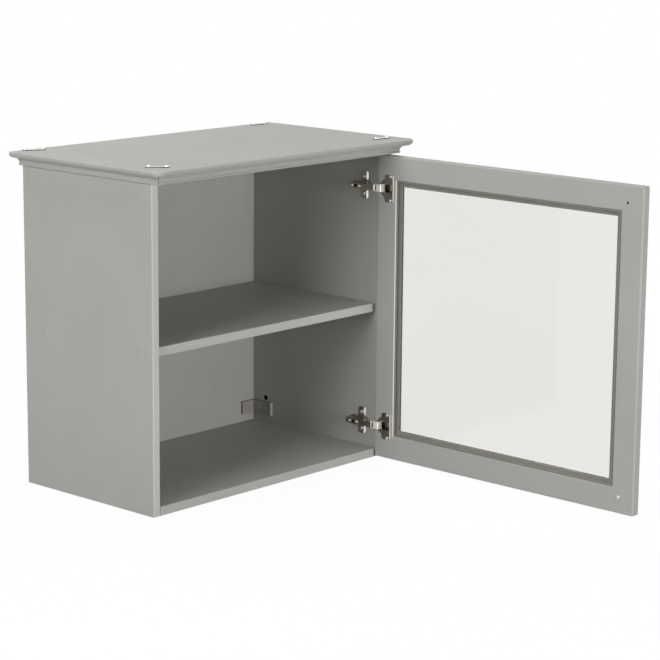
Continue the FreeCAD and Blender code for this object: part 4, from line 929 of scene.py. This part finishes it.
# Studio: a white floor that keeps the cabinet's soft shadow, a white surround and six soft lamps. The
# floor and the surround show white to the camera and in metal and glass; the lamps light the cabinet.
FLOOR_SIZE = 12.0
FLOOR_BELOW = 0.0005
FLOOR_DEEP = (0.34, 0.34, 0.34, 1)
FLOOR_LIGHT = (0.36, 0.36, 0.36, 1)
GLOW_NEAR_TO_FAR = (0.9, 2.6)
FLOOR_GLOW_NEAR = 0.85
FLOOR_STRENGTH_NEAR = 1.12
WHITE = (1, 1, 1, 1)
ROOM_COLOUR = (1, 1, 0.985, 1)
ROOM_LIGHT = 0.005
SOFT_LAMPS = (
    ("front_lamp", (-0.2, -3.6, 0.6), (0, 0, 0.3), 1.0, 51.0),
    ("left_lamp", (-3.5, -0.7, 1.4), (0, -0.2, 0.3), 1.6, 81.0),
    ("top_lamp", (-0.3, -0.5, 3.4), (0, -0.3, 0.3), 2.4, 23.0),
    ("top_rear_lamp", (-0.3, 0.8, 3.2), (0, -0.3, 0.5), 2.0, 40.0),
    ("rear_lamp", (2.4, 2.6, 0.16), (0, 0, 0.16), 0.8, 25.0),
    ("right_lamp", (3.4, -0.2, 0.9), (0, -0.3, 0.3), 1.4, 40.0),
)


def seen_rays(tree):
    """1 for rays that show the surround: the camera's, and those from metal and glass."""
    path = tree.nodes.new("ShaderNodeLightPath")
    mirrored = put(tree, "ShaderNodeMath", {0: path.outputs["Is Camera Ray"],
                                            1: path.outputs["Is Glossy Ray"]}, operation="MAXIMUM")
    shown = put(tree, "ShaderNodeMath", {0: mirrored.outputs["Value"],
                                         1: path.outputs["Is Transmission Ray"]}, operation="MAXIMUM")
    return shown.outputs["Value"]


bpy.ops.object.select_all(action="DESELECT")
bpy.ops.mesh.primitive_plane_add(size=FLOOR_SIZE, location=(0, 0, -FLOOR_BELOW))
floor = bpy.context.object
floor.name = "studio_floor"
studio_white, tree, shader, place = material("studio_white")
floor_tone = blend(tree, speckle(tree, place, fineness=0.8, detail=1), FLOOR_DEEP, FLOOR_LIGHT)
fill(tree, shader, {"Base Color": floor_tone, "Roughness": 1.0, "Specular IOR Level": 0.0})
far_off = put(tree, "ShaderNodeVectorMath", {0: place}, operation="LENGTH").outputs["Value"]
glow = spread(tree, far_off, *GLOW_NEAR_TO_FAR, FLOOR_GLOW_NEAR, 1.0)
glow_strength = spread(tree, far_off, *GLOW_NEAR_TO_FAR, FLOOR_STRENGTH_NEAR, 1.0)
glow_share = put(tree, "ShaderNodeMath", {0: seen_rays(tree), 1: glow}, operation="MULTIPLY")
white_glow = put(tree, "ShaderNodeEmission", {"Color": WHITE, "Strength": glow_strength})
floor_mix = put(tree, "ShaderNodeMixShader", {0: glow_share.outputs["Value"],
                                              1: shader.outputs["BSDF"],
                                              2: white_glow.outputs["Emission"]})
fill(tree, tree.nodes["Material Output"], {"Surface": floor_mix.outputs["Shader"]})
floor.data.materials.append(studio_white)

world = bpy.data.worlds.new("studio_room")
bpy.context.scene.world = world
world.use_nodes = True
tree = world.node_tree
room = tree.nodes["Background"]
fill(tree, room, {"Color": ROOM_COLOUR, "Strength": ROOM_LIGHT})
white_room = put(tree, "ShaderNodeBackground", {"Color": WHITE, "Strength": 1.0})
room_mix = put(tree, "ShaderNodeMixShader", {0: seen_rays(tree), 1: room.outputs["Background"],
                                             2: white_room.outputs["Background"]})
fill(tree, tree.nodes["World Output"], {"Surface": room_mix.outputs["Shader"]})

for name, stand, target, size, watts in SOFT_LAMPS:
    lamp = bpy.data.lights.new(name, "AREA")
    lamp.shape = "SQUARE"
    lamp.size = size
    lamp.energy = watts
    holder = bpy.data.objects.new(name, lamp)
    bpy.context.scene.collection.objects.link(holder)
    holder.location = stand
    holder.rotation_euler = (Vector(target) - Vector(stand)).to_track_quat("-Z", "Y").to_euler()

# Camera: a long lens to the left of the open cabinet and a little above it, at the photograph's
# distance and angle.
CAMERA_PLACE = (-2.9145, -3.1169, 1.1256)
CAMERA_YAW = math.radians(47.721)
CAMERA_PITCH = math.radians(-11.733)
CAMERA_ROLL = math.radians(0.494)
FOCAL_LENGTH = 124.82
SENSOR_WIDE = 36.0
lens = bpy.data.cameras.new("studio_camera")
lens.lens = FOCAL_LENGTH
lens.sensor_width = SENSOR_WIDE
camera = bpy.data.objects.new("studio_camera", lens)
bpy.context.scene.collection.objects.link(camera)
camera.location = CAMERA_PLACE
camera.rotation_mode = "QUATERNION"
camera.rotation_quaternion = (Quaternion((0, 0, 1), -CAMERA_YAW)
                              @ Quaternion((1, 0, 0), math.pi / 2 + CAMERA_PITCH)
                              @ Quaternion((0, 0, 1), CAMERA_ROLL))
bpy.context.scene.camera = camera
bpy.context.scene.view_settings.view_transform = "Standard"
